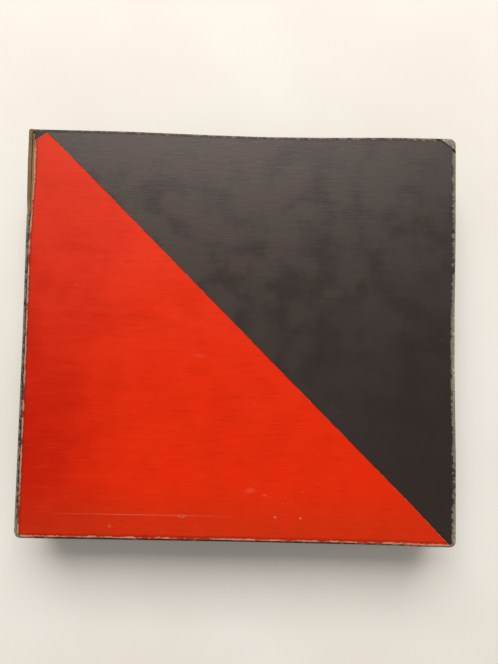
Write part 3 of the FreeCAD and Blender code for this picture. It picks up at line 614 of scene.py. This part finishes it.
# Marks on the facings: place, half sizes and strength
RED_MARKS = (
    (-58.6, -115.3, 64, 0.26, 0.5), (-33.8, -115.6, 3.0, 1.2, 0.5), (-24.8, -14, 5, 1.6, 0.1),
    (9, -98.8, 4, 2.2, 0.16), (18.5, -101.7, 1.6, 1.0, 0.25), (25.3, -115.3, 1.1, 0.8, 0.7),
    (41.2, -115.6, 1.1, 0.8, 0.7), (-79, -122.5, 1.4, 1.6, 0.25),
)
# Painted shade in small dents: dark spots, with no hollow modelled
RED_DENT_SHADES = ((-33.8, -115.5, 1.5, 0.5, 0.8), (-72, -119, 0.8, 0.6, 0.4), (52, -96, 0.7, 0.5, 0.4))
BLACK_MARKS = ((30, 110, 22, 0.5, 0.12), (60, 28, 9, 4, 0.05))


def edge_rubs(g, x, y, chips, edges):
    """Rubbed and grimy shares along edges, each a line (x, y, normal x, normal y, width)."""
    rubbed, grime = 0.0, 0.0
    for at_x, at_y, normal_x, normal_y, width in edges:
        gap = g.total((g.math("SUBTRACT", x, at_x), normal_x), (g.math("SUBTRACT", y, at_y), normal_y))
        ragged = g.jitter(gap, chips, 3.2 * width)
        rubbed = g.math("MAXIMUM", rubbed, g.ramp(ragged, width, 0.35 * width))
        grime = g.math("MAXIMUM", grime, g.ramp(ragged, 2.6 * width, 0.9 * width, 0.0, 0.55))
    patches = g.ramp(g.noise(g.place(), 0.09, 4.0, 0.65), 0.4, 0.56, 0.05, 0.95)
    return g.math("MULTIPLY", rubbed, patches), grime


def spot(g, x, y, chips, at_x, at_y, reach_x, reach_y, strength):
    """An oval mark with a chipped outline."""
    across = g.math("DIVIDE", g.math("SUBTRACT", x, at_x), reach_x)
    up = g.math("DIVIDE", g.math("SUBTRACT", y, at_y), reach_y)
    gap = g.math("ADD", g.math("MULTIPLY", across, across), g.math("MULTIPLY", up, up))
    return g.ramp(g.total((gap, 1.0), (chips, 1.2)), 1.7, 0.4, 0.0, strength)


def facing_paper(name, tones, pale, edges, marks, brighten, shine, mottle_and_dull_sheen, dent_shades=()):
    """Ribbed paper that turns from deep to bright between two places along X, with rubbed edges, pale marks,
    painted shade in its dents, dark mottling that also paints dull patches in its sheen, and a painted sheen
    towards the back; shine is the specular level, the range of roughness and the tint."""
    deep, bright, sheen_and_rib_tone, soiled = tones
    level, smoothest, roughest, tint = shine
    g = Graph(name, Specular_IOR_Level=level, Specular_Tint=tint)
    ribs, streaks, fine, clouds = paper_grain(g)
    x, y = g.attribute("flat_x"), g.attribute("flat_y")
    crinkle = g.noise(g.place((0.12, 0.36, 0.36)), 1.0, 3.0, 0.55, 0.4)
    blots = g.noise(g.place(), 0.05, 3.0, 0.55)
    chips = g.noise(g.place(), 0.33, 6.0, 0.7)
    across = g.jitter(x, g.total((clouds, 0.6), (streaks, 0.4)), 150.0)
    colour = g.mix(g.ramp(across, *brighten), deep, bright)
    # Painted sheen: the paper turns lighter towards the back, where the lamp's reflection falls
    far_sheen_share = g.ramp(g.total((y, 1.0), (clouds, 90.0)), -20.0, 190.0, 0.0, 0.6)
    colour = g.mix(far_sheen_share, colour, sheen_and_rib_tone)
    # Dark mottling; where it is strong it paints the dull patches in the sheen, a painted shade
    colour = g.mix(g.ramp(blots, 0.56, 0.36, 0.0, mottle_and_dull_sheen), colour, dim(deep, 0.5))
    colour = g.mix(g.ramp(y, -92.0, -132.0, 0.0, 0.6), colour, soiled)
    colour = g.mix(g.ramp(ribs, 0.54, 0.72, 0.0, 0.12), colour, sheen_and_rib_tone)
    colour = g.mix(g.ramp(ribs, 0.46, 0.3, 0.0, 0.16), colour, dim(deep, 0.6))
    specks = g.ramp(g.noise(g.place(), 0.42, 2.0, 0.5), 0.75, 0.8, 0.0, 0.3)
    colour = g.mix(specks, colour, pale)
    rubbed, grime = edge_rubs(g, x, y, chips, edges)
    colour = g.mix(grime, colour, dim(soiled, 0.3))
    for mark in marks:
        rubbed = g.math("MAXIMUM", rubbed, spot(g, x, y, chips, *mark))
    colour = g.mix(rubbed, colour, pale)
    # Painted shade in the dents
    for dent_shade in dent_shades:
        colour = g.mix(spot(g, x, y, chips, *dent_shade), colour, dim(deep, 0.25))
    cloudy = g.ramp(g.total((clouds, 0.45), (blots, 0.55)), 0.38, 0.62, smoothest, roughest)
    rough = g.math("ADD", cloudy, g.math("MULTIPLY", rubbed, 0.3), clamp=True)
    height = g.total((ribs, 0.9), (fine, 0.35), (crinkle, 1.0), (rubbed, -0.4))
    return g.finish(colour, rough, height, 0.3, 0.12)


def facing(name, outline, material, ragged, right_spread, front_spread):
    """A sheet cut from a grid along a convex outline, with slightly ragged edges, laid on the lid."""
    bm = bmesh.new()
    low, high = FACING_LOW, FACING_HIGH
    cells_x, cells_y = 118, 112
    xs = [low.x + (high.x - low.x) * i / cells_x for i in range(cells_x + 1)]
    ys = [low.y + (high.y - low.y) * j / cells_y for j in range(cells_y + 1)]
    rows = [[bm.verts.new((x, y, 0)) for x in xs] for y in ys]
    for j in range(cells_y):
        for i in range(cells_x):
            bm.faces.new((rows[j][i], rows[j][i + 1], rows[j + 1][i + 1], rows[j + 1][i]))
    for start, end in zip(outline, outline[1:] + outline[:1]):
        along = Vector((end[0] - start[0], end[1] - start[1], 0))
        outward = Vector((along.y, -along.x, 0)).normalized()
        bmesh.ops.bisect_plane(bm, geom=bm.verts[:] + bm.edges[:] + bm.faces[:], dist=1e-4,
                               plane_co=(*start, 0), plane_no=outward, clear_outer=True)
    bmesh.ops.remove_doubles(bm, verts=bm.verts, dist=0.05)
    middle = sum((Vector((*p, 0)) for p in outline), Vector()) / len(outline)
    for vert in bm.verts:
        if vert.is_boundary:
            x, y, _ = vert.co
            on_diagonal = abs(x / high.x + y / high.y) < 0.2
            torn = max(0.0, 0.5 + fibre(x * 0.21, y * 0.21, 2.0) + 0.4 * fibre(x, y, 5.0))
            vert.co += (middle - vert.co).normalized() * (ragged * (0.3 if on_diagonal else 1.0) * torn)
    points = [(v.co.x, v.co.y, LID_TOP) for v in bm.verts]
    bm.verts.index_update()
    faces = [[v.index for v in f.verts] for f in bm.faces]
    bm.free()
    sheet = new_piece(name, points, faces, material, smooth=False)
    flat = vertices(sheet)
    attribute(sheet, "flat_x", flat[:, 0])
    attribute(sheet, "flat_y", flat[:, 1])
    left_spread = np.interp(flat[:, 1], (55, 100), (1.9, 0.0))
    for edge, spread in ((low.x, -left_spread), (high.x, right_spread)):
        flat[:, 0] += spread * np.clip(1 - np.abs(flat[:, 0] - edge) / SPREAD_REACH, 0, 1)
    flat[:, 1] -= front_spread * np.clip(1 - (flat[:, 1] - low.y) / SPREAD_REACH, 0, 1)
    lifted = lid_bend(flat)
    lifted[:, 2] += FACING_LIFT
    move_vertices(sheet, lifted)
    thicken(sheet, FACING_GAUGE, smooth=False)
    return sheet


def make_facings():
    """The two sheets on top of the lid, which meet on its diagonal."""
    left, front, right, back = FACING_LOW.x, FACING_LOW.y, FACING_HIGH.x, FACING_HIGH.y
    lead = left + DIAGONAL_LEAD
    run, rise = right - lead, back - front
    length = math.hypot(run, rise)
    down = (-rise / length, -run / length)
    red_outline = [(left + 2.6, front), (right, front), (lead, back),
                   (left, back - TIP_CUT), (left, front + 2.2)]
    red_edges = ((left + 0.5, 0, 1, 0, 0.75), (0, front + 0.35, 0, 1, 1.0), (right, front, *down, 0.22))
    # Tones: deep, bright, a lighter tone for the painted sheen towards the back and for the ribs, and a tone
    # towards the front
    red_tones = (rgb(184, 26, 4), rgb(224, 42, 5), rgb(230, 67, 43), rgb(188, 48, 14))
    red = facing_paper("red_facing_paper", red_tones, rgb(206, 132, 108), red_edges, RED_MARKS,
                       (-170.0, -40.0), (0.09, 0.34, 0.42, (1, 1, 1, 1)), 0.07, RED_DENT_SHADES)
    (ax, ay), (bx, by) = TORN_CORNER
    black_outline = [(right, front + 0.2), (bx, by), (ax, ay), (lead + 0.2, back)]
    black_edges = ((0, back + 0.2, 0, -1, 0.3),)
    # Tones: deep, bright, a lighter tone for the painted sheen towards the back and for the ribs, and a tone
    # towards the front
    black_tones = (rgb(45, 35, 30), rgb(29, 20, 17), rgb(54, 44, 39), rgb(38, 28, 24))
    # The black's strong dark mottling paints dull patches in its sheen
    black = facing_paper("black_facing_paper", black_tones, rgb(120, 110, 96), black_edges, BLACK_MARKS,
                         (-60.0, 150.0), (0.57, 0.34, 0.44, (1, 0.93, 0.9, 1)), 0.8)
    red_sheet = facing("red_facing", red_outline, red, 0.35, -0.4, 0.45)
    settle(red_sheet, "lid", "red_paper", "lid_facing_red")
    black_sheet = facing("black_facing", black_outline, black, 0.25, 0.5, 0.0)
    settle(black_sheet, "lid", "black_paper", "lid_facing_black")


# Base
_, BASE_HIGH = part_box("base_board")
BASE_X = BASE_HIGH.x / MM + WRAP
BASE_Y = BASE_HIGH.y / MM + WRAP
BASE_RIM = BASE_HIGH.z / MM + WRAP
BASE_RADII = dict.fromkeys(CORNER_RADII, 3.0)


def make_base_cover():
    """The base's covering paper: its walls, turned in over the rim and under the bottom."""
    columns = ring_columns(64, 60)
    half = WALL / 2
    profile = [(6.0, 0.45), (1.2, 0.45), (0.4, 0.55), (0.1, 0.9)]
    profile += [(0.0, z) for z in (1.6, 4, 8, 12, 18, 24, 30, 35, 38.5)]
    for step in range(1, RIM_STEPS + 1):
        angle = math.pi * step / RIM_STEPS
        profile.append((half - half * math.cos(angle), BASE_RIM - half + half * math.sin(angle)))
    profile += [(WALL, z) for z in (38, 35, 31, 28, 26)]
    points, faces = skin(columns, [profile[::-1]] * len(columns), BASE_X, BASE_Y, BASE_RADII)
    cover = new_piece("base_cover", points, faces, BLACK_PAPER, merge=MERGE)
    flat = vertices(cover)
    wear = []
    for x, y, z in flat:
        rim = math.exp(-((z - BASE_RIM) / 1.5) ** 2) * (0.55 + 0.3 * fibre(x * 0.05, y * 0.05))
        foot = math.exp(-(z / 1.6) ** 2) * 0.7
        corner = min(max(abs(x) - BASE_X + 8, 0), max(abs(y) - BASE_Y + 8, 0)) / 8
        wear.append(max(rim, foot, 0.65 * math.exp(-((corner - 0.95) / 0.2) ** 2)))
    attribute(cover, "wear", wear)
    move_vertices(cover, base_bend(flat))
    thicken(cover, 0.34)
    settle(cover, "base", "black_paper", "base_wrap")


# Insert: boards, screens and their cloth hinges
BOARD_LOW, BOARD_HIGH = (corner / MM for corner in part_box("right_sea_board"))
CELLS = 10
CELL = 9.96
GRID_X = (BOARD_LOW.x + BOARD_HIGH.x - CELLS * CELL) / 2
GRID_Y = (BOARD_HIGH.y - CELLS * CELL) / 3
NUMBER_SIZE = 4.2
AXIS_X, AXIS_Z = 20.0, 33.4
SIDES = {"left": -1, "right": 1}


def sea_print():
    """Two ruled grids printed in deep blue on a faded sea, on paper pasted over the board."""
    g = Graph("sea_print", Specular_IOR_Level=0.35)
    x, y, _ = g.split(g.place())
    across = g.math("DIVIDE", g.math("SUBTRACT", g.math("ABSOLUTE", x), GRID_X), CELL)
    up = g.math("DIVIDE", g.math("SUBTRACT", g.math("ABSOLUTE", y), GRID_Y), CELL)

    def inside(value):
        return g.math("MULTIPLY", g.ramp(value, -0.03, -0.02), g.ramp(value, CELLS + 0.03, CELLS + 0.02))

    def line(value, width):
        return g.ramp(g.math("MULTIPLY", g.math("PINGPONG", value, 0.5), CELL), width, 0.6 * width)
    field = g.math("MULTIPLY", inside(across), inside(up))
    lines = g.math("MULTIPLY", field, g.math("MAXIMUM", line(across, 0.26), line(up, 0.26)))
    swell = g.noise(g.place((0.05, 0.16, 0.16)), 1.0, 5.0, 0.6, 1.2)
    grain = g.noise(g.place(), 2.5, 3.0, 0.6)
    age = g.noise(g.place(), 0.03, 4.0, 0.6)
    sea = g.mix(g.ramp(swell, 0.38, 0.64), rgb(118, 156, 168), rgb(150, 182, 186))
    margin = g.mix(g.ramp(age, 0.35, 0.65), rgb(205, 194, 164), rgb(222, 213, 186))
    colour = g.mix(field, margin, sea)
    colour = g.mix(g.ramp(age, 0.5, 0.8, 0.0, 0.35), colour, rgb(170, 150, 112))
    worn = g.ramp(grain, 0.36, 0.52, 0.55, 1.0)
    colour = g.mix(g.math("MULTIPLY", lines, worn), colour, rgb(32, 58, 92))
    rough = g.ramp(grain, 0.3, 0.7, 0.5, 0.62)
    return g.finish(colour, rough, grain, 0.15, 0.08)


def screen_paper():
    """Dark blue covering paper with a ruled border, rubbed along the edges of the board."""
    g = Graph("screen_paper", Specular_IOR_Level=0.35)
    ribs, _, fine, clouds = paper_grain(g)
    x, y, _ = g.split(g.place())
    middle, half = (BOARD_HIGH.x + AXIS_X) / 2, (BOARD_HIGH.x - AXIS_X) / 2
    off_middle = g.math("ABSOLUTE", g.math("SUBTRACT", g.math("ABSOLUTE", x), middle))
    from_x = g.math("SUBTRACT", half, off_middle)
    from_y = g.math("SUBTRACT", BOARD_HIGH.y, g.math("ABSOLUTE", y))
    edge = g.math("MINIMUM", from_x, from_y)
    colour = g.mix(g.ramp(clouds, 0.35, 0.65), rgb(28, 40, 66), rgb(42, 56, 84))
    fresh = g.ramp(fine, 0.35, 0.5, 0.35, 0.85)
    colour = ruled_border(g, colour, edge, ((18.5, 0.5), (20.5, 0.25)), rgb(186, 176, 146), fresh)
    chips = g.noise(g.place(), 0.4, 6.0, 0.7)
    rubbed = g.ramp(g.jitter(edge, chips, 3.0), 0.7, 0.1)
    colour = g.mix(rubbed, colour, rgb(140, 132, 118))
    height = g.total((ribs, 1.0), (fine, 0.5))
    return g.finish(colour, g.ramp(clouds, 0.3, 0.7, 0.45, 0.58), height, 0.25, 0.1)


def book_cloth():
    """Woven cloth: two crossing sets of threads."""
    g = Graph("book_cloth", Specular_IOR_Level=0.15)
    x, y, z = g.split(g.place())
    warp = g.math("SINE", g.math("MULTIPLY", y, 9.0))
    weft = g.math("SINE", g.math("MULTIPLY", g.math("ADD", x, z), 9.0))
    weave = g.math("MULTIPLY", warp, weft)
    slubs = g.noise(g.place((0.3, 1.2, 1.2)), 1.0, 4.0, 0.6)
    tone = g.total((weave, 0.25), (slubs, 1.0))
    colour = g.mix(g.ramp(tone, 0.3, 0.75), rgb(48, 26, 24), rgb(92, 52, 46))
    return g.finish(colour, g.ramp(slubs, 0.3, 0.7, 0.8, 0.92), weave, 0.5, 0.1)


def number_faces(text, size, x, y, turn, points, faces):
    """Add the mesh of one printed number, turned in quarters, to points and faces."""
    curve = bpy.data.curves.new("number", "FONT")
    curve.body, curve.size, curve.extrude, curve.resolution_u = text, size, 0.012, 3
    curve.align_x, curve.align_y = "CENTER", "CENTER"
    holder = put_in_scene("number", curve)
    mesh = bpy.data.meshes.new_from_object(holder)
    start = len(points)
    cos, sin = (1, 0, -1, 0)[turn], (0, 1, 0, -1)[turn]
    for vert in mesh.vertices:
        points.append((x + cos * vert.co.x - sin * vert.co.y, y + sin * vert.co.x + cos * vert.co.y,
                       BOARD_HIGH.z + 0.02 + vert.co.z))
    faces += [[start + index for index in face.vertices] for face in mesh.polygons]
    bpy.data.objects.remove(holder)
    bpy.data.curves.remove(curve)
    bpy.data.meshes.remove(mesh)


def make_numbers(label, ink):
    """Plain numbers along two sides of each grid, read from the player's side."""
    side = SIDES[label]
    turn = 1 if side > 0 else 3
    points, faces = [], []
    for end in (-1, 1):
        for cell in range(CELLS):
            step = (cell + 0.5) * CELL
            for x, y in ((GRID_X - 2.9, GRID_Y + step), (GRID_X + step, GRID_Y - 3.4)):
                number_faces(str(cell + 1), NUMBER_SIZE, side * x, end * y, turn, points, faces)
    numbers = new_piece(f"{label}_numbers", points, faces, ink, smooth=False, merge=0.004, closed=True)
    settle(numbers, "base", "sea_print")


def make_tape(label, cloth):
    """One strip of cloth from the platform's wall round the hinge onto the back of the screen."""
    side = SIDES[label]
    path = [(AXIS_X - 0.16, z) for z in (21.5, 23.5, 25.5, 27.5, 29.2)] + [(AXIS_X - 0.2, 29.9)]
    for step in range(17):
        angle = math.radians(262 - 172 * step / 16)
        radius = 3.05 - 0.7 * float(np.clip((step - 5) / 9, 0, 1))
        path.append((AXIS_X + radius * math.cos(angle), AXIS_Z + radius * math.sin(angle)))
    path += [(AXIS_X + reach, AXIS_Z + 2.35) for reach in (1.5, 3.5, 6, 9, 12, 14)]
    path = np.array(path)
    along = np.gradient(path, axis=0)
    across = np.column_stack((along[:, 1], -along[:, 0])) / np.linalg.norm(along, axis=1)[:, None] * 0.13
    loop = np.vstack((path + across, (path - across)[::-1]))
    half = 120.8
    rows = 60
    points, faces = [], []
    size = len(loop)
    for row in range(rows + 1):
        y = half * (2 * row / rows - 1)
        for number, (x, z) in enumerate(loop):
            fray = 0.25 * fibre(y * 0.35, side * 3.0) if number in (len(path) - 1, len(path)) else 0.0
            points.append((side * (x + fray), y, z))
    for row in range(rows):
        for number in range(size):
            a, b = row * size + number, row * size + (number + 1) % size
            faces.append((a, b, b + size, a + size))
    for row in (0, rows):
        first, last = row * size, (row + 1) * size - 1
        for number in range(len(path) - 1):
            faces.append((first + number, first + number + 1, last - number - 1, last - number))
    tape = new_piece(f"{label}_tape", points, faces, cloth, merge=0.001, closed=True)
    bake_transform(tape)
    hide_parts(f"{label}_screen_tape", f"{label}_case_tape")


# Loose contents
LEAFLET_X, LEAFLET_Y = 75.0, 104.0


def leaflet_paper():
    """Aged white paper with a ruled frame, foxing and a soft fold."""
    g = Graph("leaflet_paper", Specular_IOR_Level=0.25)
    x, y, _ = g.split(g.place())
    age = g.noise(g.place(), 0.025, 5.0, 0.6)
    grain = g.noise(g.place(), 2.0, 4.0, 0.6)
    foxing = g.ramp(g.noise(g.place(), 0.22, 3.0, 0.5), 0.68, 0.76, 0.0, 0.5)
    colour = g.mix(g.ramp(age, 0.35, 0.65), rgb(214, 202, 172), rgb(232, 224, 202))
    colour = g.mix(foxing, colour, rgb(176, 142, 96))
    from_x = g.math("SUBTRACT", LEAFLET_X, g.math("ABSOLUTE", x))
    from_y = g.math("SUBTRACT", LEAFLET_Y, g.math("ABSOLUTE", y))
    edge = g.math("MINIMUM", from_x, from_y)
    colour = g.mix(g.ramp(edge, 5.0, 0.0, 0.0, 0.4), colour, rgb(186, 162, 120))
    fresh = g.ramp(grain, 0.35, 0.5, 0.4, 0.9)
    colour = ruled_border(g, colour, edge, ((12.0, 0.45), (14.0, 0.2)), rgb(58, 52, 50), fresh)
    return g.finish(colour, g.ramp(grain, 0.3, 0.7, 0.72, 0.84), grain, 0.2, 0.08)


def make_leaflet():
    """Two leaves folded at the left, the upper one lifting a little at its free corners."""
    low, high = (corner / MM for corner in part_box("rules_leaflet"))
    across, along = 44, 52
    path = []
    for step in range(across + 1):
        path.append((high.x - 0.4 - (high.x - low.x - 0.9) * step / across, 0))
    for step in range(1, 6):
        angle = math.pi * step / 6
        path.append((low.x + 0.5 - 0.32 * math.sin(angle), (1 - math.cos(angle)) / 2))
    for step in range(across + 1):
        path.append((low.x + 0.5 + (high.x - low.x - 0.6) * step / across, 1))
    points, faces = [], []
    for row in range(along + 1):
        y = low.y + (high.y - low.y) * row / along
        for x, leaf in path:
            free = max((x - low.x) / (high.x - low.x), 0.0)
            lift = 0.25 * free + 1.9 * free ** 3 * (0.35 + 0.65 * (y / high.y) ** 2)
            curl = leaf * (lift + 0.12 * fibre(x * 0.03, y * 0.03, 7.0) * free)
            points.append((x, y, low.z + 0.12 + 0.4 * leaf + max(curl, 0.0)))
    wide = len(path)
    for row in range(along):
        for step in range(wide - 1):
            a = row * wide + step
            faces.append((a, a + wide, a + wide + 1, a + 1))
    leaflet = new_piece("leaflet", points, faces, leaflet_paper())
    thicken(leaflet, 0.1, 0.0)
    settle(leaflet, "leaflet", "leaflet_paper", "rules_leaflet")


def counter_card(name, deep, light, core):
    """Coloured card: printed faces, paler cut edges."""
    g = Graph(name, Specular_IOR_Level=0.3)
    mottle = g.noise(g.place(), 0.5, 5.0, 0.65)
    grain = g.noise(g.place(), 3.0, 4.0, 0.6)
    colour = g.mix(g.ramp(mottle, 0.35, 0.65), deep, light)
    facing_up = g.math("ABSOLUTE", g.split(g.node("NewGeometry").outputs["Normal"])[2])
    cut_edge = g.mix(g.ramp(grain, 0.3, 0.7), core, dim(core, 0.75))
    colour = g.mix(g.ramp(facing_up, 0.5, 0.85), cut_edge, colour)
    colour = g.mix(g.ramp(grain, 0.66, 0.78, 0.0, 0.4), colour, core)
    return g.finish(colour, g.ramp(grain, 0.3, 0.7, 0.5, 0.66), grain, 0.3, 0.1)


def make_counters(node, material, slot, seed):
    """Stacks of square counters, each laid a little askew on the one below."""
    low, high = (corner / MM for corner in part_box(node))
    stacks, layers, gauge, gap, around = 6, 5, 2.0, 0.05, 16
    rings = ((0.3, 0.0), (0.08, 0.08), (0.0, 0.3), (0.0, gauge - 0.3), (0.08, gauge - 0.08), (0.3, gauge))
    width = high.x - low.x
    pitch = (high.y - low.y - width) / (stacks - 1)
    dice = random.Random(seed)
    points, faces = [], []
    for stack in range(stacks):
        for layer in range(layers):
            middle_x = (low.x + high.x) / 2 + dice.uniform(-0.3, 0.3)
            middle_y = low.y + width / 2 + stack * pitch + dice.uniform(-0.28, 0.28)
            turn = math.radians(dice.uniform(-3.5, 3.5))
            foot = low.z + layer * (gauge + gap)
            start = len(points)
            for inset, z in rings:
                reach = width / 2 - 0.05 - inset
                radius = 0.9 - inset
                for corner in range(4):
                    for step in range(4):
                        angle = math.pi / 2 * corner + math.pi / 6 * step
                        x = (reach - radius) * (1 if corner in (0, 3) else -1) + radius * math.cos(angle)
                        y = (reach - radius) * (1 if corner in (0, 1) else -1) + radius * math.sin(angle)
                        points.append((middle_x + x * math.cos(turn) - y * math.sin(turn),
                                       middle_y + x * math.sin(turn) + y * math.cos(turn), foot + z))
            top = start + (len(rings) - 1) * around
            for ring in range(start, top, around):
                for step in range(around):
                    a, b = ring + step, ring + (step + 1) % around
                    faces.append((a, b, b + around, a + around))
            faces.append([start + step for step in reversed(range(around))])
            faces.append([top + step for step in range(around)])
    counters = new_piece(f"{node}_cards", points, faces, material, smooth=False)
    settle(counters, "base", slot, node)


def ship_paint(name, deep, light, bare):
    """Painted wood: brushed coats, thin and rubbed in places."""
    g = Graph(name, Specular_IOR_Level=0.45)
    brush = g.noise(g.place((0.9, 0.12, 0.9)), 1.0, 4.0, 0.6)
    grain = g.noise(g.place((2.2, 0.25, 2.2)), 1.0, 4.0, 0.6)
    rubs = g.noise(g.place(), 0.5, 6.0, 0.7)
    colour = g.mix(g.ramp(brush, 0.35, 0.65), deep, light)
    wood = g.mix(g.ramp(grain, 0.35, 0.65), bare, dim(bare, 0.6))
    colour = g.mix(g.ramp(rubs, 0.66, 0.74, 0.0, 0.7), colour, wood)
    rough = g.math("ADD", g.ramp(brush, 0.3, 0.7, 0.34, 0.48), g.ramp(rubs, 0.66, 0.74, 0.0, 0.3))
    return g.finish(colour, rough, g.math("ADD", brush, grain), 0.25, 0.1)


def make_contents():
    """Everything inside the base."""
    sea, screens, cloth = sea_print(), screen_paper(), book_cloth()
    ink = counter_card("number_ink", rgb(30, 46, 74), rgb(40, 60, 92), rgb(30, 46, 74))
    for label in SIDES:
        dress(f"{label}_sea_board", sea, 0.3)
        dress(f"{label}_screen", screens, 0.3)
        make_numbers(label, ink)
        make_tape(label, cloth)
        dress(f"{label}_platform", CARD, 0.35)
    for node in ("fleet_tray", "lane_divider", "cross_dividers"):
        dress(node, CARD, 0.2)
    make_leaflet()
    hit_card = counter_card("hit_card", rgb(176, 34, 24), rgb(196, 48, 32), rgb(190, 168, 132))
    make_counters("hit_counters", hit_card, "hit_card", 11)
    miss_card = counter_card("miss_card", rgb(226, 220, 202), rgb(238, 233, 218), rgb(182, 166, 136))
    make_counters("miss_counters", miss_card, "miss_card", 12)
    paints = {"red": ship_paint("red_ship_paint", rgb(158, 24, 18), rgb(186, 36, 26), rgb(188, 150, 104)),
              "black": ship_paint("black_ship_paint", rgb(28, 27, 28), rgb(44, 42, 42), rgb(168, 132, 92))}
    for fleet, paint in paints.items():
        for ship in ("carrier", "battleship", "cruiser", "submarine", "destroyer"):
            dress(f"{fleet}_{ship}", paint, 0.25)


# Floor, light and camera
def make_stage():
    """A plain floor, soft light from all round and a window behind the case."""
    g = Graph("floor", Specular_IOR_Level=0.2, Roughness=0.6)
    clouds = g.noise(g.place(), 0.008, 3.0, 0.5)
    colour = g.mix(g.ramp(clouds, 0.3, 0.7), rgb(236, 233, 227), rgb(241, 239, 234))
    reach = 6000
    corners = [(-reach, -reach, 0), (reach, -reach, 0), (reach, reach, 0), (-reach, reach, 0)]
    floor = new_piece("floor", corners, [(0, 1, 2, 3)], g.finish(colour), smooth=False)
    world = bpy.data.worlds.new("studio")
    bpy.context.scene.world = world
    world.use_nodes = True
    background = world.node_tree.nodes["Background"]
    background.inputs["Color"].default_value = (1.0, 0.945, 0.88, 1)
    background.inputs["Strength"].default_value = 0.36
    add_lamp("window", (-0.12, 2.05, 2.15), (2.7, 1.7), 97.0, (1.0, 0.962, 0.915))


def add_lamp(name, place, size, power, colour):
    lamp = bpy.data.lights.new(name, "AREA")
    lamp.shape = "RECTANGLE"
    lamp.size, lamp.size_y = size
    lamp.energy = power
    lamp.color = colour
    thing = put_in_scene(name, lamp)
    thing.location = place
    thing.rotation_euler = (-Vector(place)).to_track_quat("-Z", "Y").to_euler()


def make_camera():
    """The camera fitted to the outline of the lid."""
    data = bpy.data.cameras.new("camera")
    data.lens = 27.05
    data.sensor_width = 36.0
    camera = put_in_scene("camera", data)
    camera.location = (4.86 * MM, -12.97 * MM, 363.7 * MM)
    camera.rotation_euler = [math.radians(angle) for angle in (2.604, -0.319, 1.225)]
    bpy.context.scene.camera = camera


def main():
    bpy.context.scene.view_settings.view_transform = "Standard"
    make_stage()
    make_camera()
    make_lid_cover()
    make_lid_board()
    make_lid_stays()
    make_facings()
    make_base_cover()
    make_contents()
    dress("base_board", KRAFT_BOARD)
    dress("base_corner_stays", STAY_PAPER)
    dress("base_bottom_sheet", BLACK_PAPER)


main()
